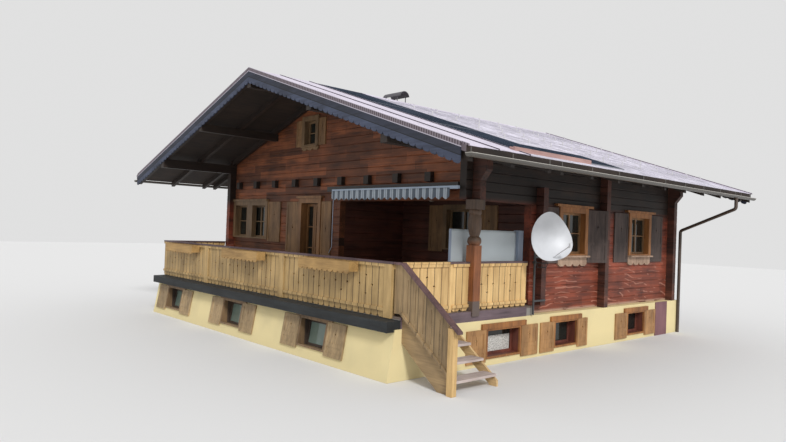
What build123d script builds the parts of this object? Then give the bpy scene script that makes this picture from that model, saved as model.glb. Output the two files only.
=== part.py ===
from build123d import *

import os
from math import ceil, cos, radians, sin, tan

os.makedirs("parts", exist_ok=True)

# Millimetres. The origin is on the ground below the middle of the roof: +X right, +Y back, +Z up.

# Plan sizes
ROOF_LENGTH = 12330  # between the faces of the front and back barge boards
PLINTH_WIDTH = 10600
RAIL_SETBACK = 330  # front barge board to front railing
TERRACE_DEPTH = 2100  # front railing to front log wall
LOGGIA_DEPTH = 2230  # front log wall to the wall at the back of the loggia
LOGGIA_WIDTH = 4670  # from the right edge of the house
BACK_OVERHANG = 870  # back log wall to back barge board
CROSS_WALL_SETBACK = 2770  # loggia back wall to the cross wall whose log ends show outside

# Heights
DECK_TOP = 1150
COURSE = 206  # height of one log
HEAD_COURSES = 11  # courses from the deck to the heads of doors and loggia openings
JOIST_COURSES = 2  # courses from those heads to the underside of the attic joists
RIDGE_HEIGHT = 6470

# Log walls
LOG = 180
LOG_END = 200  # how far log ends run past a crossing wall
GROOVE = 14

# Roof
ROOF_PITCH = 18.4
EAVE_OVERHANG = 1720  # roof boards past the plinth face, level
ROOF_BOARDS = 110
RAFTER_WIDTH = 100
RAFTER_DEPTH = 140
RAFTER_SPACING = 1000
RAFTER_CLEAR = 60
PURLIN_WIDTH = 160
PURLIN_DEPTH = 200
PURLIN_OFFSET = 2560  # ridge line to middle purlin
BARGE = 30
BARGE_RISE = 40
BARGE_DEPTH = 190
BARGE_SHORT = 110  # barge boards end this far before the eave
TRIM_DEPTH = 340  # top of roof to the points of the scalloped trim
TRIM_TOOTH = 60
TRIM_PITCH = 172
RIDGE_CAP_WIDTH = 190
RIDGE_CAP = 12
GUTTER_RADIUS = 70
GUTTER_WALL = 6
GUTTER_DROP = 120
PIPE_RADIUS = 45
PIPE_WALL = 3
FIT = 0.3  # air between pieces that slide or rest on each other

# Plinth and floors
PLINTH_WALL = 450
PLINTH_BATTER = 160
PLINTH_LEDGE = 110  # the top of the front plinth stands this far in front of the railing
BOARD = 40
EDGE_BOARD = 30
PANEL = 24

# Front beam below the railing
BEAM_REACH = 310
BEAM_TOP_GAP = 50
BEAM_LIP = 45

# Openings in the logs
WINDOW_WIDTH = 1080
WINDOW_SILL = 2270
WINDOW_HEAD = 3350
DOUBLE_WIDTH = 1880
DOUBLE_SILL = 2310
DOOR_WIDTH = 860
ATTIC_WIDTH = 590
ATTIC_HEIGHT = 730
ATTIC_SILL = 4943
LINING = 40
CASING = 90
CASING_PROUD = 60
SASH = 50
SASH_DEPTH = 46
SASH_SET = 40  # sash in from the inner face of the wall
MUNTIN = 26
GLASS = 12
SHUTTER = 35
SHUTTER_RIM = 80
SHUTTER_RELIEF = 8

# Plinth openings
CELLAR_WIDTH = 970
CELLAR_WIDE = 1170
CELLAR_SILL = 140
CELLAR_HEAD = 760
CELLAR_SET = 240
CELLAR_BOARD = 110
FRONT_CELLAR_LIFT = 85
FRONT_CELLAR_BOARD = 44

# Railings
PLANK = 197
RAIL_TOP = 2110
CAP = 40
CAP_WIDTH = 130
RAIL_BAR = 60
TEETH_GAP = 12
POST = 100
SIDE_RAIL_INSET = 100
GATE_START = 170
GATE_WIDTH = 1190
GATE_GAP = 12
RAIL_STOP = 235  # side railing ends before the log ends of the loggia
EDGE_STOP = 315  # the board below it ends earlier
NEWEL = 120

# Stair
STAIR_WIDTH = 1300
STAIR_FIRST = 320
RUN = 310
RISERS = 5
TREAD = 45
TREAD_DEPTH = 300
STRINGER = 45

# Carved post
COLUMN = 220
COLUMN_LAP = 100  # foot over the outer face of the deck edge
COLUMN_SHAFT = 1338
COLUMN_BALL = 180
COLUMN_VASE = 437
COLUMN_RING = 112
COLUMN_HEAD = 280

PLINTH_X = PLINTH_WIDTH / 2
OUTER_X = PLINTH_X - LOG_END
INNER_X = OUTER_X - LOG
FRONT_VERGE = -ROOF_LENGTH / 2
BACK_VERGE = ROOF_LENGTH / 2
RAIL_Y = FRONT_VERGE + RAIL_SETBACK
FRONT_Y = RAIL_Y + TERRACE_DEPTH
LOGGIA_Y = FRONT_Y + LOGGIA_DEPTH
LOGGIA_X = PLINTH_X - LOGGIA_WIDTH
CROSS_Y = LOGGIA_Y + CROSS_WALL_SETBACK
BACK_Y = BACK_VERGE - BACK_OVERHANG
PLINTH_TOP = DECK_TOP - COURSE
PLINTH_FRONT = RAIL_Y - PLINTH_LEDGE
PLINTH_BACK = BACK_Y + LOG_END
SLAB_FRONT = RAIL_Y + PANEL
HEAD_Z = DECK_TOP + HEAD_COURSES * COURSE
JOIST_Z = HEAD_Z + JOIST_COURSES * COURSE
EAVE_X = PLINTH_X + EAVE_OVERHANG
SLOPE = tan(radians(ROOF_PITCH))
LOGGIA_END_Y = LOGGIA_Y - LOG_END


def roof_top(x):
    return RIDGE_HEIGHT - SLOPE * abs(x)


def roof_under(x):
    return roof_top(x) - ROOF_BOARDS


def rafter_under(x):
    return roof_under(x) - RAFTER_DEPTH


# Shapes shared by several pieces, added to the piece being built

def block(x0, x1, y0, y1, z0, z1, mode=Mode.ADD):
    """A squared block between two corners."""
    with Locations(((x0 + x1) / 2, (y0 + y1) / 2, (z0 + z1) / 2)):
        Box(x1 - x0, y1 - y0, z1 - z0, mode=mode)


def board(plane, u0, u1, v0, v1, w0, w1, mode=Mode.ADD):
    """A board on a wall plane: u along the wall, v up, w out of the wall."""
    with BuildSketch(plane.offset(w0)) as outline:
        with Locations(((u0 + u1) / 2, (v0 + v1) / 2)):
            Rectangle(u1 - u0, v1 - v0)
    extrude(outline.sketch, amount=w1 - w0, mode=mode)


def profile(plane, points, depth, mode=Mode.ADD):
    """A closed outline pushed out along the normal of its plane."""
    with BuildSketch(plane) as outline:
        with BuildLine():
            Polyline(*points, close=True)
        make_face()
    extrude(outline.sketch, amount=depth, mode=mode)


def section_xz(points, y0, y1, mode=Mode.ADD):
    """An outline in X and Z, run from y0 back to y1."""
    profile(Plane.XZ.offset(-y1), points, y1 - y0, mode)


def log_wall(face, start, end, base, top):
    """Stacked logs with a groove at each bed on the outer face, between two distances along the face."""
    outline = [(-LOG, base)]
    for k in range(ceil((top - base) / COURSE)):
        low = base + k * COURSE
        high = min(low + COURSE, top)
        outline += [(-GROOVE, low), (0, low + GROOVE), (0, high - GROOVE)]
    outline += [(-GROOVE, top), (-LOG, top)]
    section = Plane(
        origin=face.from_local_coords((start, 0, 0)),
        x_dir=face.z_dir,
        z_dir=face.x_dir * -1,
    )
    profile(section, outline, start - end)


def notches(parity, x, y, base, top):
    """Room for every second log of the crossing wall, whose middle runs through x and y."""
    courses = range(parity, ceil((top - base) / COURSE), 2)
    with Locations(*[(x, y, base + (k + 0.5) * COURSE) for k in courses]):
        Box(LOG, LOG, COURSE, mode=Mode.SUBTRACT)


def under_roof():
    """Trims what stands in the active piece to the underside of the roof boards."""
    reach = PLINTH_X + LOG_END
    edge = [(-reach, 0), (reach, 0), (reach, roof_under(reach)), (0, roof_under(0)), (-reach, roof_under(reach))]
    section_xz(edge, FRONT_VERGE, BACK_VERGE, Mode.INTERSECT)


def sash(plane, width, low, high, lights, bars, w0, w1):
    """Stiles and rails around equal lights, each split by level bars."""
    light = (width - (lights + 1) * SASH) / lights
    pane = (high - low - 2 * SASH - bars * MUNTIN) / (bars + 1)
    with BuildSketch(plane.offset(w0)) as outline:
        with Locations((0, (low + high) / 2)):
            Rectangle(width, high - low)
            with GridLocations(light + SASH, pane + MUNTIN, lights, bars + 1):
                Rectangle(light, pane, mode=Mode.SUBTRACT)
    extrude(outline.sketch, amount=w1 - w0)


def window_frame(plane, width, low, high, lights=2, bars=1):
    """Lining, casing and sash around an opening that is centred on the plane's origin."""
    middle = (low + high) / 2
    inner = width - 2 * LINING
    with BuildSketch(plane.offset(-LOG)) as outline:
        with Locations((0, middle)):
            Rectangle(width, high - low)
            Rectangle(inner, high - low - 2 * LINING, mode=Mode.SUBTRACT)
    extrude(outline.sketch, amount=LOG + CASING_PROUD)
    with BuildSketch(plane) as outline:
        with Locations((0, middle + CASING / 2)):
            Rectangle(width + 2 * CASING, high - low + CASING)
        with Locations((0, middle)):
            Rectangle(width, high - low, mode=Mode.SUBTRACT)
    extrude(outline.sketch, amount=CASING_PROUD)
    back = SASH_SET - LOG
    sash(plane, inner, low + LINING, high - LINING, lights, 0, back, back + GLASS)
    sash(plane, inner, low + LINING, high - LINING, lights, bars, back + GLASS, back + SASH_DEPTH)


def glass_panes(plane, width, low, high, lights=2):
    """One pane in each light of a window frame."""
    inner = width - 2 * LINING
    light = (inner - (lights + 1) * SASH) / lights
    with BuildSketch(plane.offset(SASH_SET - LOG)) as outline:
        with Locations((0, (low + high) / 2)):
            with GridLocations(light + SASH, 0, lights, 1):
                Rectangle(light, high - low - 2 * LINING - 2 * SASH)
    extrude(outline.sketch, amount=GLASS)


def window_sill(plane, width, low, reach=140, apron=260, scallops=4):
    """A sill board with a scalloped apron below it."""
    half = width / 2 + CASING
    board(plane, -half, half, low - BOARD, low, 0, reach)
    step = 2 * half / scallops
    edge = [(-half, low - BOARD), (-half, low - apron + step / 6)]
    for k in range(scallops):
        u = -half + k * step
        edge += [(u + step / 4, low - apron), (u + 3 * step / 4, low - apron), (u + step, low - apron + step / 6)]
    edge += [(half, low - BOARD)]
    profile(plane, edge, BOARD)


def lintel(plane, width, high, past=70, proud=100, height=60):
    """The weather board above a casing."""
    half = width / 2 + CASING + past
    board(plane, -half, half, high + CASING, high + CASING + height, 0, proud)


def shutter(plane, u0, u1, v0, v1, w0=0):
    """A framed board shutter with a raised rim, a middle rail and a slot between two diamonds."""
    face = w0 + SHUTTER
    board(plane, u0, u1, v0, v1, w0, face)
    middle = v0 + 0.36 * (v1 - v0)
    rim = SHUTTER_RIM
    low = face - SHUTTER_RELIEF
    board(plane, u0 + rim, u1 - rim, v0 + rim, middle - rim / 2, low, face, Mode.SUBTRACT)
    board(plane, u0 + rim, u1 - rim, middle + rim / 2, v1 - rim, low, face, Mode.SUBTRACT)
    with BuildSketch(plane.offset(w0)) as slot:
        with Locations(((u0 + u1) / 2, (middle + v1) / 2)):
            Rectangle(40, 40, rotation=45)
            Rectangle(10, 180)
    extrude(slot.sketch, amount=SHUTTER, mode=Mode.SUBTRACT)


# Wall planes: local x along the wall, local y up, local z outwards

def right_face(y, x=OUTER_X):
    return Plane(origin=(x, y, 0), x_dir=(0, 1, 0), z_dir=(1, 0, 0))


def left_face(y, x=-OUTER_X):
    return Plane(origin=(x, y, 0), x_dir=(0, -1, 0), z_dir=(-1, 0, 0))


def front_face(x, y=FRONT_Y):
    return Plane(origin=(x, y, 0), x_dir=(1, 0, 0), z_dir=(0, -1, 0))


def back_face(x, y=BACK_Y):
    return Plane(origin=(x, y, 0), x_dir=(-1, 0, 0), z_dir=(0, 1, 0))


def battered_face(x):
    face = Plane(
        origin=(x, PLINTH_FRONT - PLINTH_BATTER, 0),
        x_dir=(1, 0, 0),
        z_dir=(0, -PLINTH_TOP, PLINTH_BATTER),
    )
    return Plane(face.from_local_coords((0, FRONT_CELLAR_LIFT, 0)), face.x_dir, face.z_dir)


# Places of openings, measured from the right edge or the railing

RIGHT_WINDOWS = [RAIL_Y + 5845, RAIL_Y + 9190]
LEFT_WINDOWS = [RAIL_Y + 4600, RAIL_Y + 9230]
BACK_WINDOWS = [-2900, 0, 2900]
SIDE_CELLARS = [RAIL_Y + 3025, RAIL_Y + 5371, RAIL_Y + 8765]
SIDE_CELLAR_WIDTHS = [CELLAR_WIDE, CELLAR_WIDTH, CELLAR_WIDTH]
FRONT_CELLARS = [-4000, -600, 2860]
BACK_CELLARS = [-2900, 2900]
DOUBLE_X = PLINTH_X - 9180
DOOR_X = PLINTH_X - 5970
ATTIC_X = PLINTH_X - 6085
LOGGIA_WINDOW_X = PLINTH_X - 2450
DOOR_LEFT = DOOR_X - DOOR_WIDTH / 2
DOOR_RIGHT = DOOR_X + DOOR_WIDTH / 2

# Masonry plinth

with BuildPart() as plinth_front:
    outline = [
        (PLINTH_FRONT - PLINTH_BATTER, 0),
        (PLINTH_FRONT + PLINTH_WALL, 0),
        (PLINTH_FRONT + PLINTH_WALL, PLINTH_TOP),
        (PLINTH_FRONT, PLINTH_TOP),
    ]
    profile(Plane.YZ.offset(-PLINTH_X), outline, PLINTH_WIDTH)
    for x in FRONT_CELLARS:
        half = CELLAR_WIDTH / 2
        depth = PLINTH_WALL + PLINTH_BATTER
        board(battered_face(x), -half, half, CELLAR_SILL, CELLAR_HEAD, -depth, 0, Mode.SUBTRACT)
plinth_front.part.label = "plinth_front"
export_step(plinth_front.part, "parts/plinth_front.step")

PLINTH_SIDE_FRONT = PLINTH_FRONT + PLINTH_WALL
PLINTH_SIDE_BACK = PLINTH_BACK - PLINTH_WALL

with BuildPart() as plinth_sides:
    for side in (1, -1):
        inner, outer = sorted((side * (PLINTH_X - PLINTH_WALL), side * PLINTH_X))
        block(inner, outer, PLINTH_SIDE_FRONT, PLINTH_SIDE_BACK, 0, PLINTH_TOP)
    for y, width in zip(SIDE_CELLARS, SIDE_CELLAR_WIDTHS):
        block(-PLINTH_X, PLINTH_X, y - width / 2, y + width / 2, CELLAR_SILL, CELLAR_HEAD, Mode.SUBTRACT)
plinth_sides.part.label = "plinth_sides"
export_step(plinth_sides.part, "parts/plinth_sides.step")

with BuildPart() as plinth_back:
    block(-PLINTH_X, PLINTH_X, PLINTH_SIDE_BACK, PLINTH_BACK, 0, PLINTH_TOP)
    for x in BACK_CELLARS:
        half = CELLAR_WIDTH / 2
        block(x - half, x + half, PLINTH_SIDE_BACK, PLINTH_BACK, CELLAR_SILL, CELLAR_HEAD, Mode.SUBTRACT)
plinth_back.part.label = "plinth_back"
export_step(plinth_back.part, "parts/plinth_back.step")

# Floors

SLAB_TOP = DECK_TOP - BOARD
TERRACE_X = PLINTH_X - EDGE_BOARD

with BuildPart() as floor_slab:
    block(-INNER_X, INNER_X, FRONT_Y, BACK_Y - LOG, PLINTH_TOP, SLAB_TOP)
    block(-TERRACE_X, TERRACE_X, SLAB_FRONT, FRONT_Y, PLINTH_TOP, SLAB_TOP)
    block(INNER_X, TERRACE_X, FRONT_Y, LOGGIA_END_Y, PLINTH_TOP, SLAB_TOP)
floor_slab.part.label = "floor_slab"
export_step(floor_slab.part, "parts/floor_slab.step")

with BuildPart() as floor_boards:
    block(-INNER_X, LOGGIA_X, FRONT_Y, LOGGIA_Y, SLAB_TOP, DECK_TOP)
    block(-INNER_X, INNER_X, LOGGIA_Y, BACK_Y - LOG, SLAB_TOP, DECK_TOP)
floor_boards.part.label = "floor_boards"
export_step(floor_boards.part, "parts/floor_boards.step")

with BuildPart() as terrace_deck:
    block(-TERRACE_X, TERRACE_X, SLAB_FRONT, FRONT_Y, SLAB_TOP, DECK_TOP)
    block(LOGGIA_X, TERRACE_X, FRONT_Y, LOGGIA_END_Y, SLAB_TOP, DECK_TOP)
    block(LOGGIA_X, INNER_X, LOGGIA_END_Y, LOGGIA_Y, SLAB_TOP, DECK_TOP)
terrace_deck.part.label = "terrace_deck"
export_step(terrace_deck.part, "parts/terrace_deck.step")

with BuildPart() as deck_edge_boards:
    block(TERRACE_X, PLINTH_X, SLAB_FRONT, LOGGIA_END_Y - EDGE_STOP, PLINTH_TOP, DECK_TOP)
    block(-PLINTH_X, -TERRACE_X, SLAB_FRONT, FRONT_Y - LOG_END, PLINTH_TOP, DECK_TOP)
deck_edge_boards.part.label = "deck_edge_boards"
export_step(deck_edge_boards.part, "parts/deck_edge_boards.step")

with BuildPart() as terrace_beam:
    beam_front = RAIL_Y - BEAM_REACH
    beam_top = DECK_TOP - BEAM_TOP_GAP
    outline = [
        (beam_front, PLINTH_TOP - BEAM_LIP),
        (PLINTH_FRONT - 20, PLINTH_TOP - BEAM_LIP),
        (PLINTH_FRONT - 20, PLINTH_TOP),
        (SLAB_FRONT, PLINTH_TOP),
        (SLAB_FRONT, beam_top),
        (beam_front, beam_top - 10),
    ]
    profile(Plane.YZ.offset(-PLINTH_X), outline, PLINTH_WIDTH)
terrace_beam.part.label = "terrace_beam"
export_step(terrace_beam.part, "parts/terrace_beam.step")

# Log walls

CORNER_X = OUTER_X - LOG / 2
FRONT_MID = FRONT_Y + LOG / 2
LOGGIA_MID = LOGGIA_Y + LOG / 2
BACK_MID = BACK_Y - LOG / 2
WALL_TOP = RIDGE_HEIGHT

with BuildPart() as front_wall_left:
    face = front_face(0)
    log_wall(face, -PLINTH_X, DOOR_LEFT, DECK_TOP, HEAD_Z)
    notches(0, -CORNER_X, FRONT_MID, DECK_TOP, HEAD_Z)
    opening = front_face(DOUBLE_X)
    board(opening, -DOUBLE_WIDTH / 2, DOUBLE_WIDTH / 2, DOUBLE_SILL, WINDOW_HEAD, -LOG, 0, Mode.SUBTRACT)
front_wall_left.part.label = "front_wall_left"
export_step(front_wall_left.part, "parts/front_wall_left.step")

with BuildPart() as front_wall_right:
    log_wall(front_face(0), DOOR_RIGHT, LOGGIA_X, DECK_TOP, HEAD_Z)
front_wall_right.part.label = "front_wall_right"
export_step(front_wall_right.part, "parts/front_wall_right.step")

CONSOLE = 160  # upper gable logs past the corners
CONSOLE_COURSES = 2  # courses above the heads where they start
JOIST_FIRST = -4580
JOIST_STEP = 1058
JOIST_WIDTH = 180
JOIST_END = 120
JOISTS = [JOIST_FIRST + k * JOIST_STEP for k in range(9)]


def purlin_sections():
    """The outlines of the ridge purlin and the two middle purlins."""
    half = PURLIN_WIDTH / 2
    yield [
        (-half, rafter_under(half)),
        (0, rafter_under(0)),
        (half, rafter_under(half)),
        (half, rafter_under(0) - PURLIN_DEPTH),
        (-half, rafter_under(0) - PURLIN_DEPTH),
    ]
    for side in (-1, 1):
        near = PURLIN_OFFSET - half
        far = PURLIN_OFFSET + half
        yield [
            (side * near, rafter_under(near)),
            (side * far, rafter_under(far)),
            (side * far, rafter_under(near) - PURLIN_DEPTH),
            (side * near, rafter_under(near) - PURLIN_DEPTH),
        ]


def consoles(y0, y1):
    """The upper logs of a gable wall run out past the corners on a tapered course."""
    low = HEAD_Z + CONSOLE_COURSES * COURSE
    for side in (-1, 1):
        outline = [
            (side * OUTER_X, low),
            (side * PLINTH_X, low),
            (side * (PLINTH_X + CONSOLE), low + COURSE),
            (side * (PLINTH_X + CONSOLE), WALL_TOP),
            (side * OUTER_X, WALL_TOP),
        ]
        section_xz(outline, y0, y1)


def purlin_holes(y0, y1):
    for outline in purlin_sections():
        section_xz(outline, y0, y1, Mode.SUBTRACT)


with BuildPart() as front_gable:
    log_wall(front_face(0), -PLINTH_X, PLINTH_X, HEAD_Z, WALL_TOP)
    consoles(FRONT_Y, FRONT_Y + LOG)
    under_roof()
    notches(1, -CORNER_X, FRONT_MID, HEAD_Z, WALL_TOP)
    notches(1, CORNER_X, FRONT_MID, HEAD_Z, WALL_TOP)
    opening = front_face(ATTIC_X)
    board(opening, -ATTIC_WIDTH / 2, ATTIC_WIDTH / 2, ATTIC_SILL, ATTIC_SILL + ATTIC_HEIGHT, -LOG, 0, Mode.SUBTRACT)
    for x in JOISTS:
        block(x - JOIST_WIDTH / 2, x + JOIST_WIDTH / 2, FRONT_Y, FRONT_Y + LOG, JOIST_Z, JOIST_Z + COURSE, Mode.SUBTRACT)
    purlin_holes(FRONT_Y, FRONT_Y + LOG)
front_gable.part.label = "front_gable"
export_step(front_gable.part, "parts/front_gable.step")

with BuildPart() as loggia_side_wall:
    log_wall(right_face(0, LOGGIA_X), FRONT_Y + LOG, LOGGIA_Y, DECK_TOP, JOIST_Z)
loggia_side_wall.part.label = "loggia_side_wall"
export_step(loggia_side_wall.part, "parts/loggia_side_wall.step")

with BuildPart() as loggia_back_wall:
    log_wall(front_face(0, LOGGIA_Y), LOGGIA_X - LOG, PLINTH_X, DECK_TOP, JOIST_Z)
    notches(0, CORNER_X, LOGGIA_MID, DECK_TOP, JOIST_Z)
    opening = front_face(LOGGIA_WINDOW_X, LOGGIA_Y)
    board(opening, -WINDOW_WIDTH / 2, WINDOW_WIDTH / 2, WINDOW_SILL, WINDOW_HEAD, -LOG, 0, Mode.SUBTRACT)
loggia_back_wall.part.label = "loggia_back_wall"
export_step(loggia_back_wall.part, "parts/loggia_back_wall.step")


def rafter_places():
    """Rafter lines in the front overhang, over the house and in the back overhang."""
    clear = RAFTER_WIDTH / 2 + RAFTER_CLEAR
    bays = (
        (FRONT_VERGE + BARGE, FRONT_Y),
        (FRONT_Y + LOG, BACK_Y - LOG),
        (BACK_Y, BACK_VERGE - BARGE),
    )
    for start, end in bays:
        first = start + clear
        last = end - clear
        count = max(1, round((last - first) / RAFTER_SPACING))
        for k in range(count + 1):
            yield first + k * (last - first) / count


def rafter(side, y, mode=Mode.ADD):
    """One rafter from the ridge to the eave."""
    outline = [
        (side * FIT, roof_under(FIT)),
        (side * EAVE_X, roof_under(EAVE_X)),
        (side * EAVE_X, rafter_under(EAVE_X)),
        (side * FIT, rafter_under(FIT)),
    ]
    section_xz(outline, y - RAFTER_WIDTH / 2, y + RAFTER_WIDTH / 2, mode)


RAFTERS = list(rafter_places())


def rafter_pockets(side, y0, y1):
    for y in RAFTERS:
        if y0 < y < y1:
            rafter(side, y, Mode.SUBTRACT)


RIGHT_WALL_FRONT = LOGGIA_END_Y
HEADER_FRONT = FRONT_Y - LOG_END

with BuildPart() as right_wall:
    log_wall(right_face(0), RIGHT_WALL_FRONT, PLINTH_BACK, PLINTH_TOP, WALL_TOP)
    block(INNER_X, OUTER_X, RIGHT_WALL_FRONT, LOGGIA_Y + LOG, HEAD_Z, WALL_TOP, Mode.SUBTRACT)
    under_roof()
    notches(1, CORNER_X, LOGGIA_MID, DECK_TOP, HEAD_Z)
    notches(0, CORNER_X, BACK_MID, PLINTH_TOP, WALL_TOP)
    for y in RIGHT_WINDOWS:
        half = WINDOW_WIDTH / 2
        block(INNER_X, OUTER_X, y - half, y + half, WINDOW_SILL, WINDOW_HEAD, Mode.SUBTRACT)
    rafter_pockets(1, RIGHT_WALL_FRONT, PLINTH_BACK)
right_wall.part.label = "right_wall"
export_step(right_wall.part, "parts/right_wall.step")

with BuildPart() as loggia_header:
    log_wall(right_face(0), HEADER_FRONT, LOGGIA_Y + LOG, HEAD_Z, WALL_TOP)
    under_roof()
    notches(0, CORNER_X, FRONT_MID, HEAD_Z, WALL_TOP)
    notches(0, CORNER_X, LOGGIA_MID, HEAD_Z, JOIST_Z)
    rafter_pockets(1, HEADER_FRONT, LOGGIA_Y + LOG)
loggia_header.part.label = "loggia_header"
export_step(loggia_header.part, "parts/loggia_header.step")

with BuildPart() as left_wall:
    log_wall(left_face(0), -PLINTH_BACK, LOG_END - FRONT_Y, PLINTH_TOP, WALL_TOP)
    block(-OUTER_X, -INNER_X, FRONT_Y - LOG_END, FRONT_Y, PLINTH_TOP, DECK_TOP, Mode.SUBTRACT)
    under_roof()
    notches(0, -CORNER_X, FRONT_MID, HEAD_Z, WALL_TOP)
    notches(1, -CORNER_X, FRONT_MID, DECK_TOP, HEAD_Z)
    notches(0, -CORNER_X, BACK_MID, PLINTH_TOP, WALL_TOP)
    for y in LEFT_WINDOWS:
        half = WINDOW_WIDTH / 2
        block(-OUTER_X, -INNER_X, y - half, y + half, WINDOW_SILL, WINDOW_HEAD, Mode.SUBTRACT)
    rafter_pockets(-1, FRONT_Y - LOG_END, PLINTH_BACK)
left_wall.part.label = "left_wall"
export_step(left_wall.part, "parts/left_wall.step")

with BuildPart() as back_wall:
    log_wall(back_face(0), -PLINTH_X, PLINTH_X, PLINTH_TOP, WALL_TOP)
    consoles(BACK_Y - LOG, BACK_Y)
    under_roof()
    notches(1, CORNER_X, BACK_MID, PLINTH_TOP, WALL_TOP)
    notches(1, -CORNER_X, BACK_MID, PLINTH_TOP, WALL_TOP)
    for x in BACK_WINDOWS:
        half = WINDOW_WIDTH / 2
        block(x - half, x + half, BACK_Y - LOG, BACK_Y, WINDOW_SILL, WINDOW_HEAD, Mode.SUBTRACT)
    half = ATTIC_WIDTH / 2
    block(-half, half, BACK_Y - LOG, BACK_Y, ATTIC_SILL, ATTIC_SILL + ATTIC_HEIGHT, Mode.SUBTRACT)
    purlin_holes(BACK_Y - LOG, BACK_Y)
back_wall.part.label = "back_wall"
export_step(back_wall.part, "parts/back_wall.step")

with BuildPart() as cross_log_ends:
    log_wall(front_face(0, CROSS_Y), OUTER_X, PLINTH_X, PLINTH_TOP, WALL_TOP)
    log_wall(front_face(0, CROSS_Y), -PLINTH_X, -OUTER_X, PLINTH_TOP, WALL_TOP)
    under_roof()
cross_log_ends.part.label = "cross_log_ends"
export_step(cross_log_ends.part, "parts/cross_log_ends.step")

with BuildPart() as attic_floor:
    joist_top = JOIST_Z + COURSE
    block(-INNER_X, INNER_X, FRONT_Y + LOG, BACK_Y - LOG, joist_top, joist_top + BOARD)
    for x in JOISTS:
        half = JOIST_WIDTH / 2
        block(x - half, x + half, FRONT_Y - JOIST_END, BACK_Y - LOG, JOIST_Z, joist_top)
attic_floor.part.label = "attic_floor"
export_step(attic_floor.part, "parts/attic_floor.step")

# Roof

ROOF_START = FRONT_VERGE + BARGE
ROOF_END = BACK_VERGE - BARGE


def roof_slope(side):
    """The boards and shingles of one slope."""
    outline = [
        (0, roof_top(0)),
        (side * EAVE_X, roof_top(EAVE_X)),
        (side * EAVE_X, roof_under(EAVE_X)),
        (0, roof_under(0)),
    ]
    section_xz(outline, ROOF_START, ROOF_END)


with BuildPart() as roof_right:
    roof_slope(1)
roof_right.part.label = "roof_right"
export_step(roof_right.part, "parts/roof_right.step")

with BuildPart() as roof_left:
    roof_slope(-1)
roof_left.part.label = "roof_left"
export_step(roof_left.part, "parts/roof_left.step")

with BuildPart() as ridge_cap:
    half = RIDGE_CAP_WIDTH
    outline = [
        (-half, roof_top(half)),
        (0, roof_top(0)),
        (half, roof_top(half)),
        (half, roof_top(half) + RIDGE_CAP),
        (0, roof_top(0) + RIDGE_CAP),
        (-half, roof_top(half) + RIDGE_CAP),
    ]
    section_xz(outline, ROOF_START, ROOF_END)
ridge_cap.part.label = "ridge_cap"
export_step(ridge_cap.part, "parts/ridge_cap.step")

with BuildPart() as purlins:
    for outline in purlin_sections():
        section_xz(outline, ROOF_START, ROOF_END)
    for side in (-1, 1):
        outline = [
            (side * INNER_X, rafter_under(INNER_X)),
            (side * OUTER_X, rafter_under(OUTER_X)),
            (side * OUTER_X, rafter_under(OUTER_X) - PURLIN_DEPTH),
            (side * INNER_X, rafter_under(OUTER_X) - PURLIN_DEPTH),
        ]
        section_xz(outline, ROOF_START, FRONT_Y - LOG_END)
        section_xz(outline, PLINTH_BACK, ROOF_END)
purlins.part.label = "purlins"
export_step(purlins.part, "parts/purlins.step")

with BuildPart() as rafters:
    for y in RAFTERS:
        rafter(1, y)
        rafter(-1, y)
rafters.part.label = "rafters"
export_step(rafters.part, "parts/rafters.step")


VERGE_X = EAVE_X - BARGE_SHORT


def verge_boards(y, outward):
    """A plain board and a band with rounded teeth below it on each side of a verge."""
    near, far = sorted((y, y + outward * BARGE))
    teeth = int(VERGE_X / TRIM_PITCH)
    pitch = VERGE_X / teeth
    for side in (-1, 1):
        upper = [
            (side * FIT, roof_top(0) + BARGE_RISE),
            (side * VERGE_X, roof_top(VERGE_X) + BARGE_RISE),
            (side * VERGE_X, roof_top(VERGE_X) - BARGE_DEPTH),
            (side * FIT, roof_top(0) - BARGE_DEPTH),
        ]
        section_xz(upper, near, far)
        lower = [(side * FIT, roof_top(0) - BARGE_DEPTH), (side * FIT, roof_top(0) - TRIM_DEPTH + TRIM_TOOTH)]
        for k in range(teeth):
            for share, drop in ((0.12, 0.3), (0.3, 0), (0.7, 0), (0.88, 0.3), (1.0, 1)):
                x = (k + share) * pitch
                lower.append((side * x, roof_top(x) - TRIM_DEPTH + drop * TRIM_TOOTH))
        lower.append((side * VERGE_X, roof_top(VERGE_X) - BARGE_DEPTH))
        section_xz(lower, near, far)


with BuildPart() as barge_boards:
    verge_boards(ROOF_START, -1)
    verge_boards(ROOF_END, 1)
barge_boards.part.label = "barge_boards"
export_step(barge_boards.part, "parts/barge_boards.step")

GUTTER_Z = roof_top(EAVE_X) - GUTTER_DROP
GUTTER_X = EAVE_X + GUTTER_RADIUS
OUTLET_Y = BACK_VERGE - 1295
STRAP = 30
STRAP_METAL = 4
PIPE_TOP = GUTTER_Z - GUTTER_RADIUS + 3

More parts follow.
